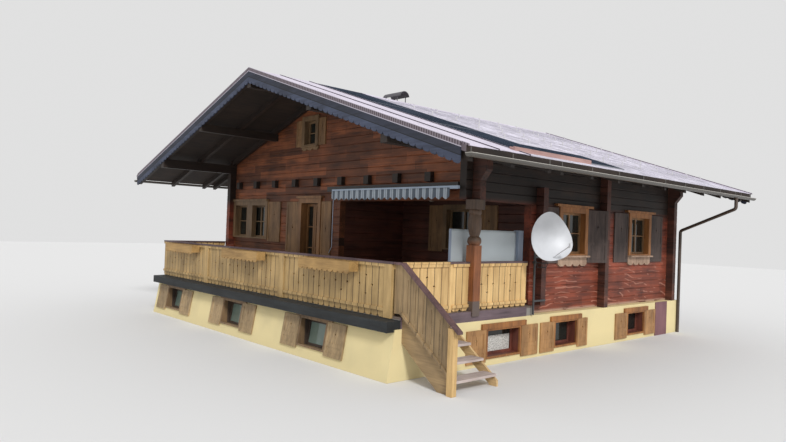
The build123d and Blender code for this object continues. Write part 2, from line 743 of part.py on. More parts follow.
with BuildPart() as gutters:
    for side in (-1, 1):
        with BuildSketch(Plane.XZ.offset(-BACK_VERGE)):
            with Locations((side * GUTTER_X, GUTTER_Z)):
                Circle(GUTTER_RADIUS)
                Circle(GUTTER_RADIUS - GUTTER_WALL, mode=Mode.SUBTRACT)
                with Locations((0, GUTTER_RADIUS)):
                    Rectangle(2 * GUTTER_RADIUS, 2 * GUTTER_RADIUS, mode=Mode.SUBTRACT)
        extrude(amount=ROOF_LENGTH)
        for y in (FRONT_VERGE + GUTTER_WALL, BACK_VERGE):
            with BuildSketch(Plane.XZ.offset(-y)):
                with Locations((side * GUTTER_X, GUTTER_Z)):
                    Circle(GUTTER_RADIUS)
                    with Locations((0, GUTTER_RADIUS)):
                        Rectangle(2 * GUTTER_RADIUS, 2 * GUTTER_RADIUS, mode=Mode.SUBTRACT)
            extrude(amount=GUTTER_WALL)
        for y in RAFTERS:
            edge = side * EAVE_X
            near, far = sorted((edge, edge + side * STRAP_METAL))
            block(near, far, y - STRAP / 2, y + STRAP / 2, GUTTER_Z - STRAP, roof_top(EAVE_X) - 10)
            near, far = sorted((edge, edge + side * 2 * GUTTER_RADIUS))
            block(near, far, y - STRAP / 2, y + STRAP / 2, GUTTER_Z, GUTTER_Z + STRAP_METAL)
    with Locations(*[(side * GUTTER_X, OUTLET_Y, GUTTER_Z - GUTTER_RADIUS) for side in (-1, 1)]):
        Cylinder(PIPE_RADIUS + FIT, GUTTER_RADIUS, mode=Mode.SUBTRACT)
gutters.part.label = "gutters"
export_step(gutters.part, "parts/gutters.step")

with BuildPart() as downpipes:
    for side in (-1, 1):
        wall_x = side * (PLINTH_X + PIPE_RADIUS + FIT)
        wall_y = PLINTH_BACK - PIPE_RADIUS
        with BuildLine():
            FilletPolyline(
                (side * GUTTER_X, OUTLET_Y, PIPE_TOP),
                (side * GUTTER_X, OUTLET_Y, PIPE_TOP - 295),
                (wall_x, wall_y, PIPE_TOP - 935),
                (wall_x, wall_y, 0),
                radius=90,
            )
        with BuildSketch(Plane.XY.offset(PIPE_TOP)):
            with Locations((side * GUTTER_X, OUTLET_Y)):
                Circle(PIPE_RADIUS)
                Circle(PIPE_RADIUS - PIPE_WALL, mode=Mode.SUBTRACT)
        sweep()
downpipes.part.label = "downpipes"
export_step(downpipes.part, "parts/downpipes.step")

CHIMNEY_X = -490
CHIMNEY_Y = RAIL_Y + 4895
CHIMNEY_WIDTH = 520
CHIMNEY_DEPTH = 380
CHIMNEY_TOP = 6500
FLUE = 120
HOOD_SHEET = 8
HOOD_LENGTH = 790
HOOD_RADIUS = 185
HOOD_FOOT = 6690
HOOD_RISE = 150

with BuildPart() as chimney:
    block(
        CHIMNEY_X - CHIMNEY_WIDTH / 2,
        CHIMNEY_X + CHIMNEY_WIDTH / 2,
        CHIMNEY_Y - CHIMNEY_DEPTH / 2,
        CHIMNEY_Y + CHIMNEY_DEPTH / 2,
        roof_top(CHIMNEY_WIDTH + abs(CHIMNEY_X)),
        CHIMNEY_TOP,
    )
    with Locations((CHIMNEY_X, CHIMNEY_Y, CHIMNEY_TOP)):
        Box(
            CHIMNEY_WIDTH - 2 * FLUE,
            CHIMNEY_DEPTH - 2 * FLUE,
            600,
            align=(Align.CENTER, Align.CENTER, Align.MAX),
            mode=Mode.SUBTRACT,
        )
    outline = [
        (0, 0),
        (-EAVE_X, 0),
        (-EAVE_X, roof_top(EAVE_X)),
        (0, roof_top(0)),
    ]
    section_xz(outline, ROOF_START, ROOF_END, Mode.SUBTRACT)
chimney.part.label = "chimney"
export_step(chimney.part, "parts/chimney.step")

with BuildPart() as chimney_cap:
    with BuildSketch(Plane.YZ.offset(CHIMNEY_X - HOOD_LENGTH / 2)):
        with Locations((CHIMNEY_Y, HOOD_FOOT + HOOD_RISE - HOOD_RADIUS)):
            Circle(HOOD_RADIUS)
            Circle(HOOD_RADIUS - HOOD_SHEET, mode=Mode.SUBTRACT)
        with Locations((CHIMNEY_Y, HOOD_FOOT)):
            Rectangle(2 * HOOD_RADIUS, 2 * HOOD_RADIUS, align=(Align.CENTER, Align.MAX), mode=Mode.SUBTRACT)
    extrude(amount=HOOD_LENGTH)
    leg_out = HOOD_RADIUS - 2 * HOOD_SHEET
    for x in (CHIMNEY_X - CHIMNEY_WIDTH / 2, CHIMNEY_X + CHIMNEY_WIDTH / 2 - STRAP):
        for y in (CHIMNEY_Y - leg_out, CHIMNEY_Y + leg_out - HOOD_SHEET):
            block(x, x + STRAP, y, y + HOOD_SHEET, CHIMNEY_TOP, HOOD_FOOT + 2 * STRAP)
chimney_cap.part.label = "chimney_cap"
export_step(chimney_cap.part, "parts/chimney_cap.step")

# Solar collectors on the right slope

COLLECTOR = 25
COLLECTORS = (
    (250, 6700, 1450, 1500),
    (5600, 6700, 3000, 2300),
)

with BuildPart() as solar_collectors:
    for near, far, start, length in COLLECTORS:
        outline = [
            (near, roof_top(near)),
            (far, roof_top(far)),
            (far, roof_top(far) + COLLECTOR),
            (near, roof_top(near) + COLLECTOR),
        ]
        section_xz(outline, RAIL_Y + start, RAIL_Y + start + length)
solar_collectors.part.label = "solar_collectors"
export_step(solar_collectors.part, "parts/solar_collectors.step")

# Windows in the log walls

SIDE_PLACES = [right_face(y) for y in RIGHT_WINDOWS]
SIDE_PLACES += [left_face(y) for y in LEFT_WINDOWS]
SIDE_PLACES += [back_face(x) for x in BACK_WINDOWS]
ATTIC_FRONT = front_face(ATTIC_X)
ATTIC_BACK = back_face(0)
ATTIC_HEAD = ATTIC_SILL + ATTIC_HEIGHT
DOUBLE_PLACE = front_face(DOUBLE_X)
LOGGIA_PLACE = front_face(LOGGIA_WINDOW_X, LOGGIA_Y)
MULLION = 300

with BuildPart() as side_window:
    window_frame(Plane.XY, WINDOW_WIDTH, WINDOW_SILL, WINDOW_HEAD)
    window_sill(Plane.XY, WINDOW_WIDTH, WINDOW_SILL)
    lintel(Plane.XY, WINDOW_WIDTH, WINDOW_HEAD, 165)

with BuildPart() as attic_window:
    window_frame(Plane.XY, ATTIC_WIDTH, ATTIC_SILL, ATTIC_HEAD, 1)
    window_sill(Plane.XY, ATTIC_WIDTH, ATTIC_SILL, 90, 120, 3)

with BuildPart() as front_windows:
    window_frame(DOUBLE_PLACE, DOUBLE_WIDTH, DOUBLE_SILL, WINDOW_HEAD, 4)
    low = DOUBLE_SILL + LINING
    high = WINDOW_HEAD - LINING
    board(DOUBLE_PLACE, -MULLION / 2, MULLION / 2, low, high, SASH_SET + SASH_DEPTH - LOG, CASING_PROUD)
    lintel(DOUBLE_PLACE, DOUBLE_WIDTH, WINDOW_HEAD, 0)
    window_frame(LOGGIA_PLACE, WINDOW_WIDTH, WINDOW_SILL, WINDOW_HEAD)
    with Locations(ATTIC_FRONT):
        add(attic_window.part)
front_windows.part.label = "front_windows"
export_step(front_windows.part, "parts/front_windows.step")

SHUTTER_WIDTH = 730
SWUNG_WIDTH = 630
SHUTTER_LOW = WINDOW_SILL - 180
SHUTTER_HIGH = WINDOW_HEAD + 60
SHUTTER_START = WINDOW_WIDTH / 2 + CASING + 5
SHUTTER_SWING = 20

with BuildPart() as side_shutter:
    shutter(Plane.XY, 0, SHUTTER_WIDTH, SHUTTER_LOW, SHUTTER_HIGH)

with BuildPart() as side_shutters:
    near_place, far_place = SIDE_PLACES[:2]
    near_room = near_place.origin.Y - SHUTTER_START - (LOGGIA_Y + LOG) - 20
    shutter(near_place, -SHUTTER_START - near_room, -SHUTTER_START, SHUTTER_LOW, SHUTTER_HIGH)
    swung = Plane(
        origin=(OUTER_X + FIT, near_place.origin.Y + SHUTTER_START + SHUTTER, 0),
        x_dir=(sin(radians(SHUTTER_SWING)), cos(radians(SHUTTER_SWING)), 0),
        z_dir=(cos(radians(SHUTTER_SWING)), -sin(radians(SHUTTER_SWING)), 0),
    )
    shutter(swung, 0, SWUNG_WIDTH, SHUTTER_LOW, SHUTTER_HIGH)
    places = []
    for place in SIDE_PLACES[1:]:
        outwards = place.x_dir * SHUTTER_START
        places.append(Plane(place.origin + outwards, place.x_dir, place.z_dir))
        outwards = place.x_dir * (SHUTTER_START + SHUTTER_WIDTH)
        places.append(Plane(place.origin - outwards, place.x_dir, place.z_dir))
    with Locations(*places):
        add(side_shutter.part)
side_shutters.part.label = "side_shutters"
export_step(side_shutters.part, "parts/side_shutters.step")


def shutter_pair(plane, opening, low, high, left, right):
    """Shutters folded back on both sides of a casing."""
    start = opening / 2 + CASING + 5
    shutter(plane, -start - left, -start, low, high)
    shutter(plane, start, start + right, low, high)


with BuildPart() as front_shutters:
    start = DOUBLE_WIDTH / 2 + CASING + 5
    shutter(DOUBLE_PLACE, start, start + 670, DOUBLE_SILL - 60, WINDOW_HEAD + 70)
    shutter_pair(front_face(DOOR_X), DOOR_WIDTH, DECK_TOP + 30, HEAD_Z, 640, 440)
    shutter_pair(ATTIC_FRONT, ATTIC_WIDTH, ATTIC_SILL, ATTIC_HEAD, 300, 300)
    shutter_pair(LOGGIA_PLACE, WINDOW_WIDTH, WINDOW_SILL - 60, WINDOW_HEAD + 70, 520, 520)
front_shutters.part.label = "front_shutters"
export_step(front_shutters.part, "parts/front_shutters.step")

# Windows in the plinth

SIDE_SHUTTERS = [(600, 600), (535, 425), (600, 600)]
CELLARS = []
for y, width, pair in zip(SIDE_CELLARS, SIDE_CELLAR_WIDTHS, SIDE_SHUTTERS):
    CELLARS.append((right_face(y, PLINTH_X), width, pair[0], pair[1]))
    CELLARS.append((left_face(y, -PLINTH_X), width, pair[1], pair[0]))
CELLARS += [(back_face(x, PLINTH_BACK), CELLAR_WIDTH, 500, 500) for x in BACK_CELLARS]
FRONT_CELLAR_PLACES = [battered_face(x) for x in FRONT_CELLARS]


def cellar_frame(width, high):
    """Lining and sash deep in the masonry, and a board above the opening."""
    middle = (CELLAR_SILL + CELLAR_HEAD) / 2
    inner = width - 2 * LINING
    with BuildSketch(Plane.XY.offset(-CELLAR_SET)) as outline:
        with Locations((0, middle)):
            Rectangle(width, CELLAR_HEAD - CELLAR_SILL)
            Rectangle(inner, CELLAR_HEAD - CELLAR_SILL - 2 * LINING, mode=Mode.SUBTRACT)
    extrude(outline.sketch, amount=CELLAR_SET + 30)
    sash(Plane.XY, inner, CELLAR_SILL + LINING, CELLAR_HEAD - LINING, 1, 0, -CELLAR_SET, SASH_DEPTH - CELLAR_SET)
    board(Plane.XY, -width / 2 - 160, width / 2 + 160, CELLAR_HEAD, CELLAR_HEAD + high, 0, 50)


with BuildPart() as cellar_window:
    cellar_frame(CELLAR_WIDTH, CELLAR_BOARD)

with BuildPart() as wide_cellar_window:
    cellar_frame(CELLAR_WIDE, CELLAR_BOARD)

with BuildPart() as front_cellar_window:
    cellar_frame(CELLAR_WIDTH, FRONT_CELLAR_BOARD)

with BuildPart() as house_windows:
    with Locations(*SIDE_PLACES):
        add(side_window.part)
    with Locations(ATTIC_BACK):
        add(attic_window.part)
    with Locations(*[place for place, width, left, right in CELLARS if width == CELLAR_WIDTH]):
        add(cellar_window.part)
    with Locations(*[place for place, width, left, right in CELLARS if width == CELLAR_WIDE]):
        add(wide_cellar_window.part)
    with Locations(*FRONT_CELLAR_PLACES):
        add(front_cellar_window.part)
house_windows.part.label = "house_windows"
export_step(house_windows.part, "parts/house_windows.step")

with BuildPart() as window_glass:
    for place in SIDE_PLACES + [LOGGIA_PLACE]:
        glass_panes(place, WINDOW_WIDTH, WINDOW_SILL, WINDOW_HEAD)
    for place in (ATTIC_FRONT, ATTIC_BACK):
        glass_panes(place, ATTIC_WIDTH, ATTIC_SILL, ATTIC_HEAD, 1)
    glass_panes(DOUBLE_PLACE, DOUBLE_WIDTH, DOUBLE_SILL, WINDOW_HEAD, 4)
    front_cellars = [(place, CELLAR_WIDTH) for place in FRONT_CELLAR_PLACES]
    for place, width in [cellar[:2] for cellar in CELLARS] + front_cellars:
        half = width / 2 - LINING - SASH
        low = CELLAR_SILL + LINING + SASH
        high = CELLAR_HEAD - LINING - SASH
        board(place, -half, half, low, high, GLASS - CELLAR_SET, 2 * GLASS - CELLAR_SET)
window_glass.part.label = "window_glass"
export_step(window_glass.part, "parts/window_glass.step")

with BuildPart() as cellar_shutters:
    front_cellars = [(place, CELLAR_WIDTH, 600, 600) for place in FRONT_CELLAR_PLACES]
    for place, width, left, right in CELLARS + front_cellars:
        start = width / 2 + 15
        shutter(place, start, start + right, CELLAR_SILL - 60, CELLAR_HEAD - 5)
        shutter(place, -start - left, -start, CELLAR_SILL - 60, CELLAR_HEAD - 5)
cellar_shutters.part.label = "cellar_shutters"
export_step(cellar_shutters.part, "parts/cellar_shutters.step")

with BuildPart() as side_panel:
    board(right_face(RAIL_Y + 10250, PLINTH_X), -345, 345, 0, PLINTH_TOP, 0, 25)
side_panel.part.label = "side_panel"
export_step(side_panel.part, "parts/side_panel.step")

# Terrace door with two glazed leaves

LEAF_GAP = 12
LEAF = 46
DOOR_FRAME = 45
LEAF_STILE = 70
LEAF_FOOT = 430
LEAF_BARS = 2
LEAF_GLASS = 10
LEAF_WIDTH = (DOOR_WIDTH - 2 * DOOR_FRAME - 3 * LEAF_GAP) / 2
LEAF_LOW = DECK_TOP + LEAF_GAP
LEAF_HIGH = HEAD_Z - DOOR_FRAME - LEAF_GAP
LEAF_PLACE = front_face(DOOR_X, FRONT_Y + LOG)
DOOR_LINING = DOOR_WIDTH / 2 - DOOR_FRAME

with BuildPart() as door_casing:
    plane = front_face(DOOR_X)
    half = DOOR_WIDTH / 2
    board(plane, -half, half, DECK_TOP, HEAD_Z, -LOG, CASING_PROUD)
    board(plane, -half - CASING, half + CASING, DECK_TOP, HEAD_Z + CASING, 0, CASING_PROUD)
    board(plane, -DOOR_LINING, DOOR_LINING, DECK_TOP, HEAD_Z - DOOR_FRAME, -LOG, CASING_PROUD, Mode.SUBTRACT)
    lintel(plane, DOOR_WIDTH, HEAD_Z)
door_casing.part.label = "door_casing"
export_step(door_casing.part, "parts/door_casing.step")


def door_leaf(u0):
    """A leaf with a solid foot panel and two bars across its glass."""
    u1 = u0 + LEAF_WIDTH
    foot = LEAF_LOW + LEAF_FOOT
    head = LEAF_HIGH - LEAF_STILE
    board(LEAF_PLACE, u0, u1, LEAF_LOW, LEAF_HIGH, 0, LEAF)
    board(LEAF_PLACE, u0 + LEAF_STILE, u1 - LEAF_STILE, foot, head, 0, LEAF, Mode.SUBTRACT)
    board(LEAF_PLACE, u0 + LEAF_STILE, u1 - LEAF_STILE, LEAF_LOW + 110, foot - 110, LEAF - 10, LEAF, Mode.SUBTRACT)
    light = (head - foot - LEAF_BARS * MUNTIN) / (LEAF_BARS + 1)
    for k in range(LEAF_BARS):
        low = foot + light + k * (light + MUNTIN)
        board(LEAF_PLACE, u0 + LEAF_STILE, u1 - LEAF_STILE, low, low + MUNTIN, LEAF_GLASS, LEAF)


def leaf_glass(u0):
    """The glass behind the bars of a leaf."""
    foot = LEAF_LOW + LEAF_FOOT
    head = LEAF_HIGH - LEAF_STILE
    board(LEAF_PLACE, u0 + LEAF_STILE, u0 + LEAF_WIDTH - LEAF_STILE, foot, head, 0, LEAF_GLASS)


LEFT_LEAF = LEAF_GAP - DOOR_LINING
RIGHT_LEAF = LEAF_GAP / 2

with BuildPart() as terrace_door_left:
    door_leaf(LEFT_LEAF)
terrace_door_left.part.label = "terrace_door_left"
export_step(terrace_door_left.part, "parts/terrace_door_left.step")

with BuildPart() as terrace_door_right:
    door_leaf(RIGHT_LEAF)
terrace_door_right.part.label = "terrace_door_right"
export_step(terrace_door_right.part, "parts/terrace_door_right.step")

with BuildPart() as door_glass_left:
    leaf_glass(LEFT_LEAF)
door_glass_left.part.label = "door_glass_left"
export_step(door_glass_left.part, "parts/door_glass_left.step")

with BuildPart() as door_glass_right:
    leaf_glass(RIGHT_LEAF)
door_glass_right.part.label = "door_glass_right"
export_step(door_glass_right.part, "parts/door_glass_right.step")

# Railings


DIAMOND = 46
SLOT = 16
SLOT_REACH = 175
CUT_OUT_RISE = 530
TOOTH = 55


def cut_outs(plane, singles, talls):
    """Diamonds, and slots between two diamonds, on joints between planks."""
    middle = DECK_TOP + CUT_OUT_RISE
    with BuildSketch(plane) as holes:
        with Locations(*[(u, middle) for u in singles]):
            Rectangle(DIAMOND, DIAMOND, rotation=45)
        with Locations(*[(u, middle + side * SLOT_REACH) for u in talls for side in (-1, 1)]):
            Rectangle(DIAMOND, DIAMOND, rotation=45)
        with Locations(*[(u, middle) for u in talls]):
            Rectangle(SLOT, 2 * SLOT_REACH)
    extrude(holes.sketch, amount=-PANEL, mode=Mode.SUBTRACT)


def plank_panel(plane, start, end, teeth_low):
    """Upright planks side by side with pointed feet, a top and a bottom bar on the outer face."""
    planks = max(1, round(abs(end - start) / PLANK))
    width = (end - start) / planks
    edge = [(start, RAIL_TOP), (start, teeth_low + TOOTH)]
    for k in range(planks):
        u = start + k * width
        edge += [(u + width * 0.2, teeth_low), (u + width * 0.8, teeth_low), (u + width, teeth_low + TOOTH)]
    edge += [(end, RAIL_TOP)]
    profile(plane.offset(-PANEL), edge, PANEL)
    groups = (planks + 1) // 4
    first = (planks - 4 * groups) // 2 + 1
    singles = [start + (first + 4 * k + side) * width for k in range(groups) for side in (0, 2)]
    talls = [start + (first + 4 * k + 1) * width for k in range(groups)]
    if groups:
        cut_outs(plane, singles, talls)
    for low in (DECK_TOP + 80, RAIL_TOP - RAIL_BAR):
        board(plane, start, end, low, low + RAIL_BAR, 0, 30)


RAIL_LEFT = -PLINTH_X + 20
RAIL_RIGHT = OUTER_X
FRONT_POSTS = [OUTER_X - 130, OUTER_X - 3785, OUTER_X - 7535]
FRONT_TEETH = DECK_TOP - BEAM_TOP_GAP + TEETH_GAP
SIDE_TEETH = DECK_TOP + TEETH_GAP
SIDE_X = PLINTH_X - SIDE_RAIL_INSET
GATE_POST = RAIL_Y + GATE_START + GATE_WIDTH + GATE_GAP
GATE_BATTEN = 36
GATE_INNER = SIDE_X - PANEL - GATE_BATTEN
COLUMN_Y = FRONT_Y - 35
COLUMN_X = PLINTH_X - 80

with BuildPart() as front_railing:
    rail = front_face(0, RAIL_Y)
    stops = [RAIL_LEFT] + sorted(x - POST for x in FRONT_POSTS)
    for left, right in zip(stops, stops[1:]):
        first = left if left == RAIL_LEFT else left + 2 * POST
        plank_panel(rail, first, right, FRONT_TEETH)
    for x in FRONT_POSTS:
        board(rail, x - POST, x + POST, FRONT_TEETH, RAIL_TOP, -PANEL, 35)
        block(x - POST / 2, x + POST / 2, RAIL_Y + PANEL, RAIL_Y + PANEL + POST, DECK_TOP, RAIL_TOP)
    block(RAIL_LEFT, RAIL_RIGHT, RAIL_Y + PANEL, RAIL_Y + PANEL + 50, RAIL_TOP - 90, RAIL_TOP)
front_railing.part.label = "front_railing"
export_step(front_railing.part, "parts/front_railing.step")

LEFT_RAIL_START = RAIL_Y + PANEL + 50
SIDE_PANELS = (
    (GATE_POST + POST, COLUMN_Y - COLUMN / 2),
    (COLUMN_Y + COLUMN / 2, LOGGIA_END_Y - RAIL_STOP),
)

with BuildPart() as side_railings:
    for start, end in SIDE_PANELS:
        plank_panel(right_face(0, SIDE_X), start, end, SIDE_TEETH)
        block(SIDE_X - PANEL - 50, SIDE_X - PANEL, start, end, RAIL_TOP - 90, RAIL_TOP)
    block(GATE_INNER, SIDE_X, GATE_POST, GATE_POST + POST, DECK_TOP, RAIL_TOP)
    rail_end = LOGGIA_END_Y - RAIL_STOP
    block(SIDE_X - PANEL - POST, SIDE_X - PANEL, rail_end - POST, rail_end, DECK_TOP, RAIL_TOP)
    plank_panel(left_face(0, -SIDE_X), LOG_END - FRONT_Y, -LEFT_RAIL_START, SIDE_TEETH)
    block(
        -SIDE_X + PANEL,
        -SIDE_X + PANEL + 50,
        LEFT_RAIL_START,
        FRONT_Y - LOG_END,
        RAIL_TOP - 90,
        RAIL_TOP,
    )
side_railings.part.label = "side_railings"
export_step(side_railings.part, "parts/side_railings.step")

with BuildPart() as rail_caps:
    cap_front = RAIL_Y - 40
    block(RAIL_LEFT, RAIL_RIGHT, cap_front, cap_front + CAP_WIDTH, RAIL_TOP, RAIL_TOP + CAP)
    left_cap = cap_front + CAP_WIDTH + FIT
    block(-SIDE_X - 30, -SIDE_X - 30 + CAP_WIDTH, left_cap, FRONT_Y - LOG_END, RAIL_TOP, RAIL_TOP + CAP)
    for start, end in SIDE_PANELS:
        start = GATE_POST if start == SIDE_PANELS[0][0] else start
        block(SIDE_X + 30 - CAP_WIDTH, SIDE_X + 30, start, end, RAIL_TOP, RAIL_TOP + CAP)
rail_caps.part.label = "rail_caps"
export_step(rail_caps.part, "parts/rail_caps.step")

# Gate at the head of the stair

with BuildPart() as gate:
    plane = right_face(0, SIDE_X)
    start = RAIL_Y + GATE_START
    end = start + GATE_WIDTH
    plank_panel(plane, start, end, SIDE_TEETH)
    block(GATE_INNER, SIDE_X - PANEL, start, end, RAIL_TOP - 120, RAIL_TOP)
    block(GATE_INNER, SIDE_X - PANEL, start, end, DECK_TOP + 90, DECK_TOP + 190)
    block(GATE_INNER, SIDE_X + 40, start, end, RAIL_TOP, RAIL_TOP + CAP)
gate.part.label = "gate"
export_step(gate.part, "parts/gate.step")

# Hinges: a barrel on the frame with a pin, and a loose barrel on the leaf above it

PIN_RADIUS = 5
PIN_CLEAR = 0.1
BARREL_RADIUS = 9
BARREL = 45
HINGE_OUT = 12  # pin in front of the face of the leaf
HINGE_PLATE = 8
HINGE_REACH = 45

GATE_PIN = (GATE_INNER - HINGE_OUT, GATE_POST - GATE_GAP / 2)
LEFT_PIN = (DOOR_X - DOOR_LINING + LEAF_GAP / 2, FRONT_Y + LOG + HINGE_OUT)
RIGHT_PIN = (DOOR_X + DOOR_LINING - LEAF_GAP / 2, FRONT_Y + LOG + HINGE_OUT)
GATE_LEVELS = (DECK_TOP + 55, RAIL_TOP - 155)
DOOR_LEVELS = (DECK_TOP + 200, DECK_TOP + 1050, DECK_TOP + 1900)


def barrel(pin, z, along, face):
    """A barrel and its plate; along and face point from the pin along the leaf and to its face."""
    with Locations((pin[0], pin[1], z)):
        Cylinder(BARREL_RADIUS, BARREL, align=(Align.CENTER, Align.CENTER, Align.MIN))
    near = HINGE_OUT - HINGE_PLATE
    spans = [sorted((p + f * near, p + f * HINGE_OUT + a * HINGE_REACH)) for p, a, f in zip(pin, along, face)]
    block(*spans[0], *spans[1], z, z + BARREL)


def fixed_barrels(pin, levels, along, face):
    """Barrels on the frame, each with its pin standing out above."""
    for z in levels:
        barrel(pin, z, along, face)
        with Locations((pin[0], pin[1], z + BARREL)):
            Cylinder(PIN_RADIUS, BARREL, align=(Align.CENTER, Align.CENTER, Align.MIN))


def loose_barrels(pin, levels, along, face):
    """Barrels on the leaf, bored to turn on their pins."""
    for z in levels:
        barrel(pin, z + BARREL + FIT, along, face)
        with Locations((pin[0], pin[1], z + BARREL + FIT)):
            Cylinder(
                PIN_RADIUS + PIN_CLEAR,
                BARREL,
                align=(Align.CENTER, Align.CENTER, Align.MIN),
                mode=Mode.SUBTRACT,
            )


with BuildPart() as hinge_pins:
    fixed_barrels(GATE_PIN, GATE_LEVELS, (0, 1), (1, 0))
    fixed_barrels(LEFT_PIN, DOOR_LEVELS, (-1, 0), (0, -1))
    fixed_barrels(RIGHT_PIN, DOOR_LEVELS, (1, 0), (0, -1))
hinge_pins.part.label = "hinge_pins"
export_step(hinge_pins.part, "parts/hinge_pins.step")

with BuildPart() as gate_hinges:
    loose_barrels(GATE_PIN, GATE_LEVELS, (0, -1), (1, 0))
gate_hinges.part.label = "gate_hinges"
export_step(gate_hinges.part, "parts/gate_hinges.step")

with BuildPart() as door_hinges_left:
    loose_barrels(LEFT_PIN, DOOR_LEVELS, (1, 0), (0, -1))
door_hinges_left.part.label = "door_hinges_left"
export_step(door_hinges_left.part, "parts/door_hinges_left.step")

with BuildPart() as door_hinges_right:
    loose_barrels(RIGHT_PIN, DOOR_LEVELS, (-1, 0), (0, -1))
door_hinges_right.part.label = "door_hinges_right"
export_step(door_hinges_right.part, "parts/door_hinges_right.step")

# Stair

RISE = DECK_TOP / RISERS
STAIR_SLOPE = RISE / RUN
STAIR_NEAR = RAIL_Y
STAIR_FAR = RAIL_Y + STAIR_WIDTH
NEWEL_X = PLINTH_X + STAIR_FIRST + 3 * RUN + 5
CAP_HIGH = RAIL_TOP
SLITS = 5
SLIT = 24
SLIT_FIRST = 140
SLIT_PITCH = 205
SLIT_MARGIN = 150
NEWEL_TOP = CAP_HIGH - STAIR_SLOPE * (NEWEL_X + NEWEL / 2 - PLINTH_X)

with BuildPart() as stair_treads:
    for k in range(RISERS - 1):
        x1 = PLINTH_X + STAIR_FIRST + k * RUN
        top = DECK_TOP - (k + 1) * RISE
        x0 = max(x1 - TREAD_DEPTH, PLINTH_X)
        block(x0, x1, STAIR_NEAR + STRINGER + NEWEL / 2, STAIR_FAR - STRINGER, top - TREAD, top)
stair_treads.part.label = "stair_treads"
export_step(stair_treads.part, "parts/stair_treads.step")


def flight_line(x, level):
    """Height of a line parallel to the flight that starts at a level at the deck edge."""
    return level - STAIR_SLOPE * (x - PLINTH_X)


with BuildPart() as stair_stringers:
    foot = NEWEL_X
    upper = DECK_TOP + 60
    lower = DECK_TOP - 460
    near = [
        (PLINTH_X, flight_line(PLINTH_X, upper)),
        (NEWEL_X, flight_line(NEWEL_X, upper)),
        (NEWEL_X, 0),
        (PLINTH_X + lower / STAIR_SLOPE, 0),
        (PLINTH_X, lower),
    ]
    section_xz(near, STAIR_NEAR + NEWEL / 2, STAIR_NEAR + NEWEL / 2 + STRINGER)
    upper = DECK_TOP - 110
    lower = DECK_TOP - 330
    far = [
        (PLINTH_X, flight_line(PLINTH_X, upper)),
        (foot, flight_line(foot, upper)),
        (foot, 0),
        (PLINTH_X + lower / STAIR_SLOPE, 0),
        (PLINTH_X, lower),
    ]
    section_xz(far, STAIR_FAR - STRINGER, STAIR_FAR)
stair_stringers.part.label = "stair_stringers"
export_step(stair_stringers.part, "parts/stair_stringers.step")

with BuildPart() as stair_balustrade:
    start = OUTER_X
    end = NEWEL_X - NEWEL / 2
    outline = [
        (start, CAP_HIGH),
        (PLINTH_X, CAP_HIGH),
        (end, flight_line(end, CAP_HIGH)),
        (end, flight_line(end, DECK_TOP + 60)),
        (PLINTH_X, DECK_TOP + 60),
        (start, DECK_TOP + 60),
    ]
    section_xz(outline, STAIR_NEAR + 30, STAIR_NEAR + 30 + PANEL)
    for k in range(SLITS):
        x0 = PLINTH_X + SLIT_FIRST + k * SLIT_PITCH
        x1 = x0 + SLIT
        slit = [
            (x0, flight_line(x0, DECK_TOP + 60 + SLIT_MARGIN)),
            (x1, flight_line(x1, DECK_TOP + 60 + SLIT_MARGIN)),
            (x1, flight_line(x1, CAP_HIGH - SLIT_MARGIN)),
            (x0, flight_line(x0, CAP_HIGH - SLIT_MARGIN)),
        ]
        section_xz(slit, STAIR_NEAR + 30, STAIR_NEAR + 30 + PANEL, Mode.SUBTRACT)
    strip = [
        (PLINTH_X, DECK_TOP + 60),
        (end, flight_line(end, DECK_TOP + 60)),
        (end, flight_line(end, DECK_TOP + 60 + RAIL_BAR)),
        (PLINTH_X, DECK_TOP + 60 + RAIL_BAR),
    ]
    section_xz(strip, STAIR_NEAR, STAIR_NEAR + 30)
    block(
        NEWEL_X - NEWEL / 2,
        NEWEL_X + NEWEL / 2,
        STAIR_NEAR,
        STAIR_NEAR + NEWEL / 2,
        0,
        NEWEL_TOP,
    )
    block(
        NEWEL_X,
        NEWEL_X + NEWEL / 2,
        STAIR_NEAR + NEWEL / 2,
        STAIR_NEAR + NEWEL,
        0,
        NEWEL_TOP,
    )
    cap_end = NEWEL_X + NEWEL + 50
    cap = [
        (start, CAP_HIGH),
        (PLINTH_X, CAP_HIGH),
        (cap_end, flight_line(cap_end, CAP_HIGH)),
        (cap_end, flight_line(cap_end, CAP_HIGH) + CAP),
        (PLINTH_X, CAP_HIGH + CAP),
        (start, CAP_HIGH + CAP),
    ]
    section_xz(cap, STAIR_NEAR - 15, STAIR_NEAR - 15 + CAP_WIDTH)
stair_balustrade.part.label = "stair_balustrade"
export_step(stair_balustrade.part, "parts/stair_balustrade.step")

# Carved corner post

